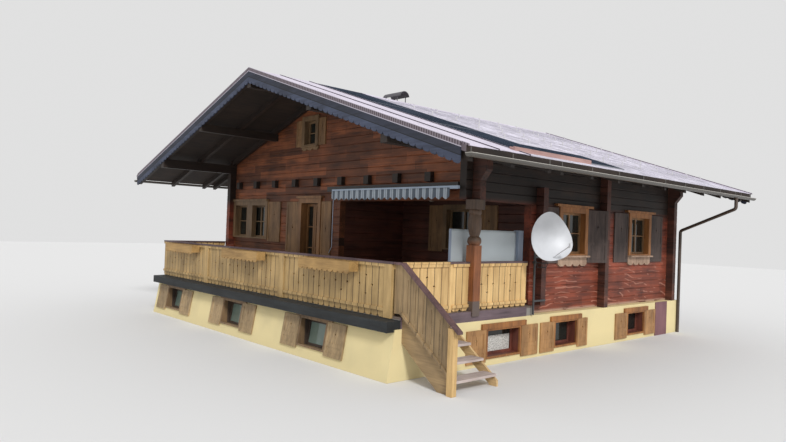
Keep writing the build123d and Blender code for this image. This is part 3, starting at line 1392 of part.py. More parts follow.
with BuildPart() as carved_post:
    base = DECK_TOP
    shaft_top = base + COLUMN_SHAFT
    ball_top = shaft_top + COLUMN_BALL
    vase_top = ball_top + COLUMN_VASE
    ring_top = vase_top + COLUMN_RING
    half = COLUMN / 2
    head = COLUMN_HEAD / 2
    block(COLUMN_X - half, COLUMN_X + half, COLUMN_Y - half, COLUMN_Y + half, base, shaft_top)
    block(PLINTH_X, COLUMN_X + half, COLUMN_Y - half, COLUMN_Y + half, base - COLUMN_LAP, base)
    with BuildSketch(Plane.XZ.offset(-COLUMN_Y)):
        with BuildLine():
            Polyline(
                (COLUMN_X + 105, shaft_top),
                (COLUMN_X, shaft_top),
                (COLUMN_X, ring_top),
                (COLUMN_X + 118, ring_top),
            )
            ThreePointArc(
                (COLUMN_X + 118, ring_top),
                (COLUMN_X + 135, ring_top - COLUMN_RING / 2),
                (COLUMN_X + 118, vase_top),
            )
            Spline(
                (COLUMN_X + 118, vase_top),
                (COLUMN_X + 140, ball_top + COLUMN_VASE / 2),
                (COLUMN_X + 95, ball_top),
            )
            ThreePointArc(
                (COLUMN_X + 95, ball_top),
                (COLUMN_X + 145, shaft_top + COLUMN_BALL / 2),
                (COLUMN_X + 105, shaft_top),
            )
        make_face()
    revolve(axis=Axis((COLUMN_X, COLUMN_Y, 0), (0, 0, 1)))
    block(COLUMN_X - head, COLUMN_X + head, COLUMN_Y - head, COLUMN_Y + head, ring_top, HEAD_Z)
carved_post.part.label = "carved_post"
export_step(carved_post.part, "parts/carved_post.step")

# Flower boxes on the outside of the front railing

BOX_LENGTH = 1750
BOX_DEPTH = 230
BOX_HEIGHT = 195
BOX_BOARD = 22
BOX_TOP = RAIL_TOP - 15
BOX_BACK = RAIL_Y - 30
BOX_WAVE = 40
BOX_WAVES = 10
BOX_PLACES = (PLINTH_X - 2090, PLINTH_X - 5567, PLINTH_X - 9044)

with BuildPart() as flower_boxes:
    half = BOX_LENGTH / 2
    low = BOX_TOP - BOX_HEIGHT
    step = BOX_LENGTH / BOX_WAVES
    for x in BOX_PLACES:
        block(x - half, x + half, BOX_BACK - BOX_DEPTH, BOX_BACK, low, BOX_TOP)
        block(
            x - half + BOX_BOARD,
            x + half - BOX_BOARD,
            BOX_BACK - BOX_DEPTH + BOX_BOARD,
            BOX_BACK - BOX_BOARD,
            low + BOX_BOARD,
            BOX_TOP,
            Mode.SUBTRACT,
        )
        edge = [(x - half, low + BOX_BOARD), (x - half, low)]
        for k in range(BOX_WAVES):
            u = x - half + k * step
            edge += [(u + step / 4, low - BOX_WAVE), (u + 3 * step / 4, low - BOX_WAVE), (u + step, low)]
        edge += [(x + half, low + BOX_BOARD)]
        section_xz(edge, BOX_BACK - BOX_DEPTH, BOX_BACK - BOX_DEPTH + BOX_BOARD)
flower_boxes.part.label = "flower_boxes"
export_step(flower_boxes.part, "parts/flower_boxes.step")

# Retracted awning under the gable

AWNING_LEFT = PLINTH_X - 4600
AWNING_RIGHT = PLINTH_X - 540
CASSETTE_LEFT = PLINTH_X - 5110
CASSETTE_RIGHT = PLINTH_X - 510
AWNING_BAR = FRONT_Y - 330
AWNING_ROD = 8

with BuildPart() as awning_frame:
    block(CASSETTE_LEFT, CASSETTE_RIGHT, FRONT_Y - 110, FRONT_Y, 3660, 3790)
    block(AWNING_LEFT, AWNING_RIGHT + 225, AWNING_BAR, AWNING_BAR + 60, 3630, 3695)
    for x in (AWNING_LEFT + 500, AWNING_RIGHT - 500):
        block(x - 25, x + 25, AWNING_BAR + 30, FRONT_Y - 60, 3662, 3690)
    with BuildLine():
        Polyline(
            (AWNING_LEFT + 30, AWNING_BAR + 30, 3635),
            (AWNING_LEFT + 30, AWNING_BAR + 30, 2240),
            (AWNING_LEFT - 80, AWNING_BAR + 30, 2090),
        )
    with BuildSketch(Plane.XY.offset(3635)):
        with Locations((AWNING_LEFT + 30, AWNING_BAR + 30)):
            Circle(AWNING_ROD)
    sweep(transition=Transition.RIGHT)
awning_frame.part.label = "awning_frame"
export_step(awning_frame.part, "parts/awning_frame.step")

with BuildPart() as awning_cloth:
    block(AWNING_LEFT, AWNING_RIGHT, AWNING_BAR - 4, AWNING_BAR, 3415, 3656)
awning_cloth.part.label = "awning_cloth"
export_step(awning_cloth.part, "parts/awning_cloth.step")

# Wind screen behind the side railing

SCREEN_X = PLINTH_X - 355
SCREEN_TOP = 2825
SCREEN_START = GATE_POST + POST + 150
SCREEN_END = LOGGIA_END_Y - 142
SCREEN_CASE = 170

with BuildPart() as screen_posts:
    block(SCREEN_X - 70, SCREEN_X + 70, SCREEN_END - SCREEN_CASE, SCREEN_END, DECK_TOP, SCREEN_TOP)
    block(SCREEN_X - 20, SCREEN_X + 20, SCREEN_START, SCREEN_START + 34, DECK_TOP, SCREEN_TOP - 20)
screen_posts.part.label = "screen_posts"
export_step(screen_posts.part, "parts/screen_posts.step")

with BuildPart() as screen_cloth:
    block(SCREEN_X - 4, SCREEN_X + 4, SCREEN_START + 34, SCREEN_END - SCREEN_CASE, DECK_TOP + 120, SCREEN_TOP - 20)
screen_cloth.part.label = "screen_cloth"
export_step(screen_cloth.part, "parts/screen_cloth.step")

# Satellite dish on the near corner of the logs

DISH_WIDTH = 940
DISH_HEIGHT = 1080
DISH_SHELL = 10
DISH_CURVE = 1100  # radius of the bowl
DISH_PLACE = Plane(
    origin=(PLINTH_X + 360, LOGGIA_Y - 285, 2700),
    x_dir=(0.469, 0.883, 0),
    z_dir=(0.883, -0.469, 0.2),
)
MAST = 24
MAST_X = PLINTH_X + 50
MAST_Y = LOGGIA_END_Y - 145
MAST_FOOT = 970
MAST_BRACKETS = (DECK_TOP + 120, DECK_TOP + 1100)

with BuildPart() as satellite_dish:
    with BuildSketch(DISH_PLACE):
        with BuildLine():
            Spline(
                (0, -DISH_HEIGHT * 0.5),
                (DISH_WIDTH * 0.5, DISH_HEIGHT * 0.04),
                (0, DISH_HEIGHT * 0.5),
                (-DISH_WIDTH * 0.5, DISH_HEIGHT * 0.04),
                periodic=True,
            )
        make_face()
    extrude(amount=200)
    with Locations(Location(DISH_PLACE.from_local_coords((0, 0, DISH_CURVE)))):
        Sphere(DISH_CURVE, mode=Mode.INTERSECT)
        Sphere(DISH_CURVE - DISH_SHELL, mode=Mode.SUBTRACT)
    with BuildSketch(DISH_PLACE.offset(-70)):
        Circle(60)
    extrude(amount=75)
    hub = DISH_PLACE.from_local_coords((0, 0, -35))
    with BuildLine():
        FilletPolyline((MAST_X, MAST_Y, MAST_FOOT), (MAST_X, MAST_Y, hub.Z), hub, radius=60)
    with BuildSketch(Plane.XY.offset(MAST_FOOT)):
        with Locations((MAST_X, MAST_Y)):
            Circle(MAST)
    sweep()
    feed = DISH_PLACE.from_local_coords((190, -270, 560))
    with BuildLine() as arm:
        Polyline(DISH_PLACE.from_local_coords((0, -DISH_HEIGHT * 0.44, 100)), feed)
    with BuildSketch(Plane(origin=arm.line @ 0, z_dir=arm.line % 0)):
        Circle(12)
    sweep()
    with Locations(Location(feed)):
        Cylinder(35, 90)
    for z in MAST_BRACKETS:
        block(PLINTH_X, MAST_X + 12, LOGGIA_Y + 60, LOGGIA_Y + 100, z - 20, z + 20)
        block(MAST_X - 12, MAST_X + 12, MAST_Y, LOGGIA_Y + 100, z - 20, z + 20)
satellite_dish.part.label = "satellite_dish"
export_step(satellite_dish.part, "parts/satellite_dish.step")
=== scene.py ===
import random
from math import cos, pi, radians, sin, tan

import bmesh
import bpy
from mathutils import Matrix, Vector


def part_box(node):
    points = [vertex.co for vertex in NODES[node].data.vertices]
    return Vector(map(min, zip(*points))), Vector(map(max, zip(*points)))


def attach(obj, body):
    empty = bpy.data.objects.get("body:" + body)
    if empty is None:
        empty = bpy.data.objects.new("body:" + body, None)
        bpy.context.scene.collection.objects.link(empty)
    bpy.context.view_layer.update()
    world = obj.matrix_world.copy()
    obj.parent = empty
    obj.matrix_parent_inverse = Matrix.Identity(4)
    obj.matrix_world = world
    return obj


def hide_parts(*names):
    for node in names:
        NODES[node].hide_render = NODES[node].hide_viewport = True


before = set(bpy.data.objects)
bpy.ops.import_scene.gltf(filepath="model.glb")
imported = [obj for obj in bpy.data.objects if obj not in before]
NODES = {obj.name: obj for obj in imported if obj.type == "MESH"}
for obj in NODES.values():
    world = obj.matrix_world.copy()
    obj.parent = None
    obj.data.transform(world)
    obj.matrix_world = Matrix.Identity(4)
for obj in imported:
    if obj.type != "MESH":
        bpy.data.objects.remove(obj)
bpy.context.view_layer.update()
HOUSE = "house"
SIDES = (1, -1)

# Heights and edges that the finishes and the pieces line up with, in metres

COURSE = 0.206
ROOF_LOW, ROOF_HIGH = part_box("roof_right")
RIDGE = ROOF_HIGH.z
EAVE_X = ROOF_HIGH.x
SLOPE = tan(radians(18.4))
VERGE_FRONT = ROOF_LOW.y
VERGE_BACK = ROOF_HIGH.y
# heights of the gutter's rim, where a pale painted highlight runs along it
GUTTER_RIM_HIGHLIGHT = (4.006, 4.0153)
STRINGER_SIDES = (-5.3, -5.2)
RIGHT_SIDE_X = 5.0
LOG_ENDS_X = 5.09
DISH_BACK_X = 5.47
FRONT_FACE_Y = -5.7
CRANK_Y = -3.95
PLINTH_WINDOW_TOP = 0.95
EDGE_SKIN = 0.002  # how close to an edge of the roof a face counts as its end
FADE = 0.02  # the width in which one finish goes over to the next
FAR_AWAY = 100.0  # past every piece

# Shingles and verge sheets

SHINGLE_TOP = 0.1
SHINGLE_ROWS = 34
ROW_STEP = (EAVE_X - SHINGLE_TOP) / SHINGLE_ROWS
VERGE_WIDTH = 0.3
SHINGLE_START = VERGE_FRONT + VERGE_WIDTH
SHINGLE_COUNT = 49
SHINGLE_STEP = (VERGE_BACK - VERGE_FRONT - 2 * VERGE_WIDTH) / SHINGLE_COUNT
SEAM_STEP = 0.87

# Panels of railing planks, each with its start, its end and the number of its planks

PLANK_GAP = 0.05  # a share of a plank, on each side of it
LEFT_SHIFT = FAR_AWAY  # keeps the panel of the left side apart from those of the right side
STAIR_PLANKS_X = 5.32
STAIR_PLANK = 0.205
FRONT_PANELS = [(-5.28, -2.535, 14), (-2.335, 1.215, 18), (1.415, 4.87, 18)]
GATE_PANEL = (-5.665, -4.475, 6)
LEFT_PANEL = (LEFT_SHIFT - 5.761, LEFT_SHIFT - 3.935, 9)
SIDE_PANELS = [(-4.443, -3.88, 3), (-3.66, -1.94, 9), GATE_PANEL, LEFT_PANEL]
STAIR_STARTS = [STAIR_PLANKS_X + STAIR_PLANK * k for k in range(7)]
STAIR_PANELS = [(start, end, 1) for start, end in zip(STAIR_STARTS, STAIR_STARTS[1:])]


def roof_z(x):
    return RIDGE - SLOPE * abs(x)


def paint(red, green, blue):
    """A colour as it is seen on the surface, from 0 to 255 for each part, in the shader's linear values."""
    seen = [part / 255 for part in (red, green, blue)]
    return (*(part / 12.92 if part <= 0.04045 else ((part + 0.055) / 1.055) ** 2.4 for part in seen), 1)


def middle(first, second):
    return tuple((a + b) / 2 for a, b in zip(first, second))


def darker(colour, level):
    return (*(part * level for part in colour[:3]), 1)


# Shader building blocks


class Wiring:
    """Short ways to add and join the nodes of a material or of a shared effect."""

    def node(self, kind, links=None, **settings):
        made = self.tree.nodes.new(kind)
        for key, value in settings.items():
            setattr(made, key, value)
        for socket, value in (links or {}).items():
            self.feed(made.inputs[socket], value)
        return made

    def feed(self, socket, value):
        if isinstance(value, bpy.types.NodeSocket):
            self.tree.links.new(value, socket)
        else:
            socket.default_value = value

    def math(self, operation, first, second=0.0):
        return self.node("ShaderNodeMath", {0: first, 1: second}, operation=operation).outputs[0]

    def plus(self, first, second):
        return self.math("ADD", first, second)

    def minus(self, first, second):
        return self.math("SUBTRACT", first, second)

    def times(self, first, second):
        return self.math("MULTIPLY", first, second)

    def over(self, first, second):
        return self.math("DIVIDE", first, second)

    def larger(self, first, second):
        return self.math("MAXIMUM", first, second)

    def above(self, value, limit):
        return self.math("GREATER_THAN", value, limit)

    def below(self, value, limit):
        return self.math("LESS_THAN", value, limit)

    def away(self, value, centre=0.0):
        """How far a value is from a centre, on either side."""
        return self.math("ABSOLUTE", self.minus(value, centre))

    def near(self, value, centre, reach):
        return self.below(self.away(value, centre), reach)

    def joints(self, count, share):
        """A mask of that share before and after each whole number, where one board or pane meets the next."""
        return self.above(self.away(self.math("FRACT", count), 0.5), 0.5 - share)

    def fade(self, value, first, last):
        """Rises from 0 to 1 while a value goes from the first number to the last."""
        links = {"Value": value, "From Min": first, "From Max": last}
        return self.node("ShaderNodeMapRange", links).outputs[0]

    def stretched(self, place, by):
        return self.node("ShaderNodeVectorMath", {0: place, 1: by}, operation="MULTIPLY").outputs[0]

    def noise(self, place, scale, detail=2.0, **more):
        links = {"Vector": place, "Scale": scale, "Detail": detail, **more}
        return self.node("ShaderNodeTexNoise", links).outputs["Fac"]

    def row_tone(self, row):
        """A tone from 0 to 1, drawn for each row."""
        return self.node("ShaderNodeTexWhiteNoise", {"W": row}, noise_dimensions="1D").outputs["Value"]

    def cell_tone(self, column, row):
        """A tone from 0 to 1, drawn for each place in each row."""
        cell = self.node("ShaderNodeCombineXYZ", {"X": column, "Y": row}).outputs[0]
        return self.node("ShaderNodeTexWhiteNoise", {"Vector": cell}, noise_dimensions="2D").outputs["Value"]


class Effect(Wiring):
    """A node group that several materials share. An input without a value is a place."""

    def __init__(self, name, inputs, outputs):
        self.tree = bpy.data.node_groups.new(name, "ShaderNodeTree")
        for label, value in inputs.items():
            kind = "NodeSocketVector" if value is None else "NodeSocketFloat"
            made = self.tree.interface.new_socket(label, in_out="INPUT", socket_type=kind)
            if value is not None:
                made.default_value = value
        for label in outputs:
            self.tree.interface.new_socket(label, in_out="OUTPUT", socket_type="NodeSocketFloat")
        self.inputs = self.tree.nodes.new("NodeGroupInput").outputs
        self.outputs = self.tree.nodes.new("NodeGroupOutput").inputs

    def put(self, label, value):
        self.tree.links.new(value, self.outputs[label])


def make_grain():
    """Long streaks and knots of sawn or hewn wood, along the X axis of the place that it is given."""
    effect = Effect("wood grain", {"Place": None, "Fineness": 1.0}, ("Streaks", "Blotches", "Height"))
    place = effect.inputs["Place"]
    fibres = effect.node(
        "ShaderNodeVectorMath",
        {0: effect.stretched(place, (1.4, 26, 26)), "Scale": effect.inputs["Fineness"]},
        operation="SCALE",
    )
    fine = effect.noise(fibres.outputs[0], scale=1.0, detail=6, Roughness=0.65)
    bands = effect.noise(effect.stretched(place, (0.8, 5, 5)), scale=1.7, detail=3, Distortion=0.6)
    effect.put("Streaks", effect.plus(effect.times(fine, 0.6), effect.times(bands, 0.4)))
    effect.put("Blotches", effect.noise(place, scale=1.6, detail=4))
    effect.put("Height", fine)
    return effect.tree


def make_courses():
    """A tone for each length of each course, and a mask of the joints where two lengths meet."""
    effect = Effect(
        "courses", {"Along": 0.0, "Up": 0.0, "Height": 0.2, "Length": 2.0, "Gap": 0.006}, ("Tone", "Joint")
    )
    row_shift = 7.0
    length = effect.inputs["Length"]
    row = effect.math("FLOOR", effect.over(effect.inputs["Up"], effect.inputs["Height"]))
    shift = effect.times(effect.row_tone(row), row_shift)
    along = effect.plus(effect.over(effect.inputs["Along"], length), shift)
    effect.put("Tone", effect.cell_tone(effect.math("FLOOR", along), row))
    part = effect.times(effect.math("FRACT", along), length)
    effect.put("Joint", effect.below(part, effect.inputs["Gap"]))
    return effect.tree


def make_dirt():
    """Soft patches of dirt and wear, and a fine speckle."""
    effect = Effect("weathering", {"Place": None, "Size": 2.0, "Amount": 0.5}, ("Patches", "Speckle"))
    threshold, contrast = 0.42, 4.0
    place = effect.inputs["Place"]
    wide = effect.noise(place, scale=effect.inputs["Size"], detail=7)
    lift = effect.times(effect.minus(wide, threshold), contrast)
    clamp = effect.node("ShaderNodeClamp", {"Value": lift})
    effect.put("Patches", effect.times(clamp.outputs[0], effect.inputs["Amount"]))
    effect.put("Speckle", effect.noise(place, scale=140.0))
    return effect.tree


GRAIN = make_grain()
COURSES = make_courses()
DIRT = make_dirt()
GRAIN_TURN = {"X": (0, 0, 0), "Y": (0, 0, radians(-90)), "Z": (0, radians(90), 0)}


class Shader(Wiring):
    """A material that is painted by laying one tint over another."""

    def __init__(self, name, tint, roughness, metallic=0.0):
        self.material = bpy.data.materials.new(name)
        self.material.use_nodes = True
        self.tree = self.material.node_tree
        self.surface = self.tree.nodes["Principled BSDF"]
        self.surface.inputs["Roughness"].default_value = roughness
        self.surface.inputs["Metallic"].default_value = metallic
        self.place = self.node("ShaderNodeTexCoord").outputs["Object"]
        self.at = dict(zip("XYZ", self.node("ShaderNodeSeparateXYZ", {"Vector": self.place}).outputs))
        self.show(tint)

    def group(self, tree, **values):
        return self.node("ShaderNodeGroup", values, node_tree=tree).outputs

    def dirt(self, size, amount):
        return self.group(DIRT, Place=self.place, Size=size, Amount=amount)

    def mix(self, share, first, second, blend="MIX"):
        links = {"Factor": share, 6: first, 7: second}
        return self.node("ShaderNodeMix", links, data_type="RGBA", blend_type=blend).outputs[2]

    def ramp(self, value, stops):
        made = self.node("ShaderNodeValToRGB", {"Fac": value})
        for index, (position, colour) in ((0, stops[0]), (1, stops[-1])):
            made.color_ramp.elements[index].position = position
            made.color_ramp.elements[index].color = colour
        for position, colour in stops[1:-1]:
            made.color_ramp.elements.new(position).color = colour
        return made.outputs["Color"]

    def show(self, tint):
        self.tint = tint
        self.feed(self.surface.inputs["Base Color"], tint)

    def cover(self, mask, tint, strength=1.0):
        """Lays a tint over what shows, where a mask is above 0."""
        share = mask if strength == 1.0 else self.times(mask, strength)
        self.show(self.mix(share, self.tint, tint))

    def vary(self, tone, spread):
        """Makes what shows darker or lighter by a tone from 0 to 1."""
        level = self.plus(self.times(tone, spread), 1.0 - 0.55 * spread)
        grey = self.node("ShaderNodeCombineColor", {"Red": level, "Green": level, "Blue": level}).outputs[0]
        self.show(self.mix(1.0, self.tint, grey, "MULTIPLY"))

    def bump(self, height, strength, distance):
        links = {"Height": height, "Strength": strength, "Distance": distance}
        self.feed(self.surface.inputs["Normal"], self.node("ShaderNodeBump", links).outputs["Normal"])


class Timber(Shader):
    """Stained or weathered timber, with its grain along an axis of the house.

    boards gives (across axis, width, length, gap) for what is laid in strips, and planks (axis, panels) for
    railings. A zone (axis, from, to, dark, light) fades to other colours where the place on its axis goes
    from the one number to the other.
    """

    def __init__(
        self, name, dark, light, axis, fineness=1.0, roughness=0.62, wear=0.25, boards=None, planks=None,
        spread=0.42, gap_tint=None, zones=(),
    ):
        super().__init__(name, dark, roughness)
        turned = self.node("ShaderNodeMapping", {"Vector": self.place, "Rotation": GRAIN_TURN[axis]})
        grain = self.group(GRAIN, Place=turned.outputs[0], Fineness=fineness)
        self.streaks = self.plus(grain["Streaks"], self.times(grain["Blotches"], 0.5))
        self.show(self.ramp(self.streaks, [(0.52, dark), (0.72, middle(dark, light)), (0.95, light)]))
        self.cover(self.dirt(size=1.3, amount=wear)["Patches"], darker(dark, 0.55))
        for zone_axis, first, last, zone_dark, zone_light in zones:
            self.cover(self.fade(self.at[zone_axis], first, last), self.shades(zone_dark, zone_light))
        if boards:
            across, width, length, gap = boards
            cells = self.group(
                COURSES, Along=self.at[axis], Up=self.at[across], Height=width, Length=length, Gap=gap
            )
            self.vary(cells["Tone"], spread)
            self.cover(cells["Joint"], darker(dark, 0.5), strength=0.8)
        if planks:
            tone, gap = self.plank_cells(*planks)
            self.vary(tone, spread)
            self.cover(gap, gap_tint or darker(dark, 0.3), strength=0.85)
        self.bump(grain["Height"], strength=0.25, distance=0.006)

    def shades(self, dark, light, light_from=0.92):
        """Other tints that follow the same streaks."""
        return self.ramp(self.streaks, [(0.55, dark), (light_from, light)])

    def plank_cells(self, axis, panels):
        """A tone for each plank of the panels, and a mask of the gaps between planks."""
        along = self.at[axis]
        if axis == "Y":
            along = self.plus(along, self.times(self.below(self.at["X"], 0.0), LEFT_SHIFT))
        margin, panel_shift = 0.01, 50.0
        number, covered = 0.0, 0.0
        for index, (start, end, count) in enumerate(panels):
            local = self.over(self.minus(along, start), (end - start) / count)
            inside = self.near(local, count / 2, count / 2 - margin)
            number = self.plus(number, self.times(inside, self.plus(local, panel_shift * (index + 1))))
            covered = self.plus(covered, inside)
        gap = self.times(self.joints(number, PLANK_GAP), covered)
        return self.row_tone(self.math("FLOOR", number)), gap


# Finishes that change with the place on the house


def side_logs():
    """Logs of the right side: painted shade, near black, under the eave; red-brown and scraped below,
    bleached along the foot.
    """
    shade_low, shade_high = 3.2, 3.5
    scrapes_high, scrapes_low = 2.3, 1.7
    foot_high, foot_low = 1.03, 0.97
    shader = Timber(
        "logs side", paint(62, 28, 20), paint(158, 76, 50), "Y", boards=("Z", COURSE, 3.1, 0.01), spread=0.6,
        # painted shade under the eave: the logs go near black between 3.2 m and 3.5 m up
        zones=[("Z", shade_low, shade_high, paint(22, 15, 11), paint(46, 30, 21))],
    )
    flat = shader.node("ShaderNodeMapping", {"Vector": shader.place, "Scale": (1, 0.4, 1.5)}).outputs[0]
    rings = shader.node(
        "ShaderNodeTexWave",
        {"Vector": flat, "Scale": 1.6, "Distortion": 7.0, "Detail": 2.5, "Detail Scale": 1.6},
        wave_type="RINGS", rings_direction="X",
    )
    thin = shader.above(rings.outputs["Fac"], 0.93)
    few = shader.above(shader.noise(shader.place, scale=2.3, detail=3), 0.5)
    low = shader.fade(shader.at["Z"], scrapes_high, scrapes_low)
    shader.cover(shader.times(shader.times(thin, few), low), paint(206, 150, 128), strength=0.4)
    foot = shader.fade(shader.at["Z"], foot_high, foot_low)
    shader.cover(shader.times(foot, shader.above(shader.streaks, 0.7)), paint(176, 146, 128))
    return shader


def roof_boards():
    """Weathered boards on top, dark ones from below, painted shade on the end face along the eave, greyer
    ends at the verges.
    """
    shader = Timber(
        "roof cover", paint(132, 126, 140), paint(196, 190, 204), "Y", fineness=0.8, roughness=0.8, wear=0.15
    )
    verge = shader.above(shader.away(shader.at["Y"]), VERGE_BACK - EDGE_SKIN)
    shader.cover(verge, paint(104, 94, 100))
    normal = shader.node("ShaderNodeNewGeometry").outputs["Normal"]
    upward = shader.node("ShaderNodeSeparateXYZ", {"Vector": normal}).outputs["Z"]
    underside = shader.below(upward, -0.2)
    # painted shade on the end face along the eave, for the dark gap under the roof's edge
    eave = shader.above(shader.away(shader.at["X"]), EAVE_X - EDGE_SKIN)
    shader.cover(shader.larger(underside, eave), shader.shades(*DARK_TIMBER))
    return shader


def shingle_wood():
    """Grey shingles with a tone for each one and a shadow line at the lower edge of each row."""
    edge_from = 0.93
    shader = Timber(
        "roof shingles", paint(150, 146, 160), paint(232, 228, 240), "X",
        fineness=1.5, roughness=0.75, wear=0.12,
    )
    row = shader.over(shader.minus(shader.away(shader.at["X"]), SHINGLE_TOP), ROW_STEP)
    odd = shader.math("MODULO", shader.math("FLOOR", row), 2.0)
    along = shader.over(shader.minus(shader.at["Y"], SHINGLE_START), SHINGLE_STEP)
    column = shader.minus(along, shader.times(odd, 0.5))
    shader.vary(shader.cell_tone(shader.math("FLOOR", column), shader.math("FLOOR", row)), spread=0.3)
    edge = shader.above(shader.math("FRACT", row), edge_from)
    shader.cover(edge, paint(84, 80, 92), strength=0.45)
    return shader


def barge_paint():
    """Dark blue-grey boards with a lighter scalloped band below and a ribbed strip with pale edges on top;
    the ribs are painted light and shade.
    """
    strip_top, strip_foot, strip_edge, rib_step = -0.032, 0.045, 0.05, 0.06
    band_top, line = 0.19, 0.008
    shader = Timber("barge boards", paint(20, 23, 32), paint(50, 55, 72), "X", fineness=1.2, roughness=0.7)
    roof = shader.minus(RIDGE, shader.times(shader.away(shader.at["X"]), SLOPE))
    drop = shader.minus(roof, shader.at["Z"])
    shader.cover(shader.above(drop, band_top), shader.shades(paint(34, 39, 54), paint(70, 78, 100)))
    shader.cover(shader.near(drop, band_top, line), paint(14, 16, 22))
    # painted light and shade: the ribs of the strip are drawn as pale and dark stripes across it
    rib = shader.above(shader.math("FRACT", shader.over(shader.at["X"], rib_step)), 0.5)
    ribbed = shader.mix(rib, paint(78, 68, 74), paint(126, 116, 124))
    shader.cover(shader.below(drop, strip_foot), ribbed)
    edges = shader.larger(shader.below(drop, strip_top), shader.near(drop, strip_edge, line))
    shader.cover(edges, paint(178, 172, 184))
    return shader


def balustrade_wood():
    """Grey-brown planks, a honey newel and a mauve-brown cap that falls with the stair."""
    stair_x, stair_fall, cap_foot, newel_x = 5.3, 0.742, 2.105, 6.494
    shader = Timber(
        "balustrade planks", paint(104, 86, 62), paint(176, 148, 108), "Z", fineness=1.4, roughness=0.68,
        planks=("X", STAIR_PANELS), spread=0.3,
    )
    newel = shader.above(shader.at["X"], newel_x)
    shader.cover(newel, shader.shades(paint(168, 134, 84), paint(222, 186, 128)))
    fall = shader.times(shader.larger(shader.minus(shader.at["X"], stair_x), 0.0), stair_fall)
    cap = shader.above(shader.plus(shader.at["Z"], fall), cap_foot)
    shader.cover(cap, shader.shades(paint(70, 50, 50), paint(116, 88, 88)))
    return shader


def turned_post():
    """Brown shaft, greyer carved head and a grey metal shoe."""
    shoe_top, head_low, head_high = 1.355, 2.46, 2.6
    shader = Timber(
        "turned post", paint(84, 48, 28), paint(158, 96, 56), "Z", fineness=1.3, roughness=0.55,
        zones=[("Z", head_low, head_high, paint(52, 40, 32), paint(104, 80, 62))],
    )
    shader.cover(shader.below(shader.at["Z"], shoe_top), paint(96, 82, 76))
    return shader


def window_wood():
    """Varnished casings, bleached sills on the sunny side, dark and red-brown frames in the plinth."""
    sill_low, sill_high = 1.5, 2.272
    front_plinth_y, front_plinth_reach = -5.55, 0.36
    frame_x = 5.285
    shader = Timber(
        "window casings", paint(86, 68, 48), paint(148, 118, 84), "Z", fineness=1.6, roughness=0.6,
        zones=[("X", RIGHT_SIDE_X, RIGHT_SIDE_X + FADE, paint(100, 62, 32), paint(172, 114, 60))],
    )
    x, y, z = shader.at["X"], shader.at["Y"], shader.at["Z"]
    level = shader.times(shader.below(z, sill_high), shader.above(z, sill_low))
    sill = shader.times(shader.above(x, LOG_ENDS_X), level)
    bleached = shader.shades(paint(110, 88, 74), paint(188, 168, 150), light_from=0.9)
    shader.cover(sill, bleached, strength=0.7)
    plinth = shader.below(z, PLINTH_WINDOW_TOP)
    front = shader.times(plinth, shader.near(y, front_plinth_y, front_plinth_reach))
    shader.cover(front, shader.shades(paint(44, 36, 32), paint(84, 68, 56)))
    inner = shader.times(plinth, shader.below(shader.away(x), frame_x))
    right = shader.times(inner, shader.above(x, RIGHT_SIDE_X))
    shader.cover(right, shader.shades(paint(72, 34, 28), paint(122, 66, 50)))
    return shader


def verge_sheet():
    """Pale sheets with a dark groove beside each raised seam."""
    groove_at, groove_reach = 0.945, 0.021
    shader = Shader("verge sheet", paint(214, 206, 222), roughness=0.5)
    shader.cover(shader.dirt(size=2.2, amount=0.4)["Patches"], paint(176, 168, 184))
    inwards = shader.minus(shader.away(shader.at["Y"]), VERGE_BACK)
    part = shader.math("FRACT", shader.over(inwards, -SEAM_STEP))
    shader.cover(shader.near(part, groove_at, groove_reach), paint(92, 84, 94))
    return shader


def collector_glass():
    """Nearly black absorbers with fine lines under dull glass, in slim grey frames."""
    line_step, frame_start, frame_step = 0.125, 0.25, 2.15
    shader = Shader("collector glass", paint(40, 47, 58), roughness=0.42)
    shader.cover(shader.dirt(size=0.7, amount=0.6)["Patches"], paint(62, 70, 84))
    lines = shader.joints(shader.over(shader.at["Y"], line_step), share=0.06)
    shader.cover(lines, paint(104, 114, 128), strength=0.7)
    panes = shader.over(shader.minus(shader.at["X"], frame_start), frame_step)
    shader.cover(shader.joints(panes, share=0.013), paint(124, 126, 132))
    shader.surface.inputs["Specular IOR Level"].default_value = 0.0
    return shader


def window_pane():
    """Dark rooms behind clear panes, with a lace curtain in the wide plinth window."""
    lace_y, lace_reach, lace_top = -2.83, 0.5, 0.56
    front_y = -5.0
    shader = Shader("window pane", paint(26, 30, 28), roughness=0.06)
    x, y, z = shader.at["X"], shader.at["Y"], shader.at["Z"]
    shader.cover(shader.dirt(size=0.8, amount=0.4)["Patches"], paint(58, 62, 56))
    lace = shader.node(
        "ShaderNodeTexVoronoi", {"Vector": shader.place, "Scale": 26.0}, feature="DISTANCE_TO_EDGE"
    )
    threads = shader.below(lace.outputs["Distance"], 0.14)
    window = shader.times(shader.above(x, RIGHT_SIDE_X), shader.near(y, lace_y, lace_reach))
    curtain = shader.times(window, shader.below(z, lace_top))
    density = shader.plus(shader.times(threads, 0.4), 0.5)
    shader.cover(shader.times(curtain, density), paint(214, 212, 206))
    front = shader.times(shader.below(y, front_y), shader.below(z, PLINTH_WINDOW_TOP))
    shader.cover(front, paint(150, 172, 160), strength=0.5)
    shader.surface.inputs["Specular IOR Level"].default_value = 0.6
    return shader


# Finishes of plaster and metal


def plaster(name, tint, stain):
    """Rough plaster or cast stone, stained in patches and along its foot."""
    splash_top, splash = 0.35, 0.5
    shader = Shader(name, tint, roughness=0.85)
    mask = shader.dirt(size=0.9, amount=0.3)
    foot = shader.times(shader.fade(shader.at["Z"], splash_top, 0.0), splash)
    shader.cover(shader.larger(shader.times(foot, mask["Speckle"]), mask["Patches"]), stain)
    shader.bump(mask["Speckle"], strength=0.35, distance=0.004)
    return shader


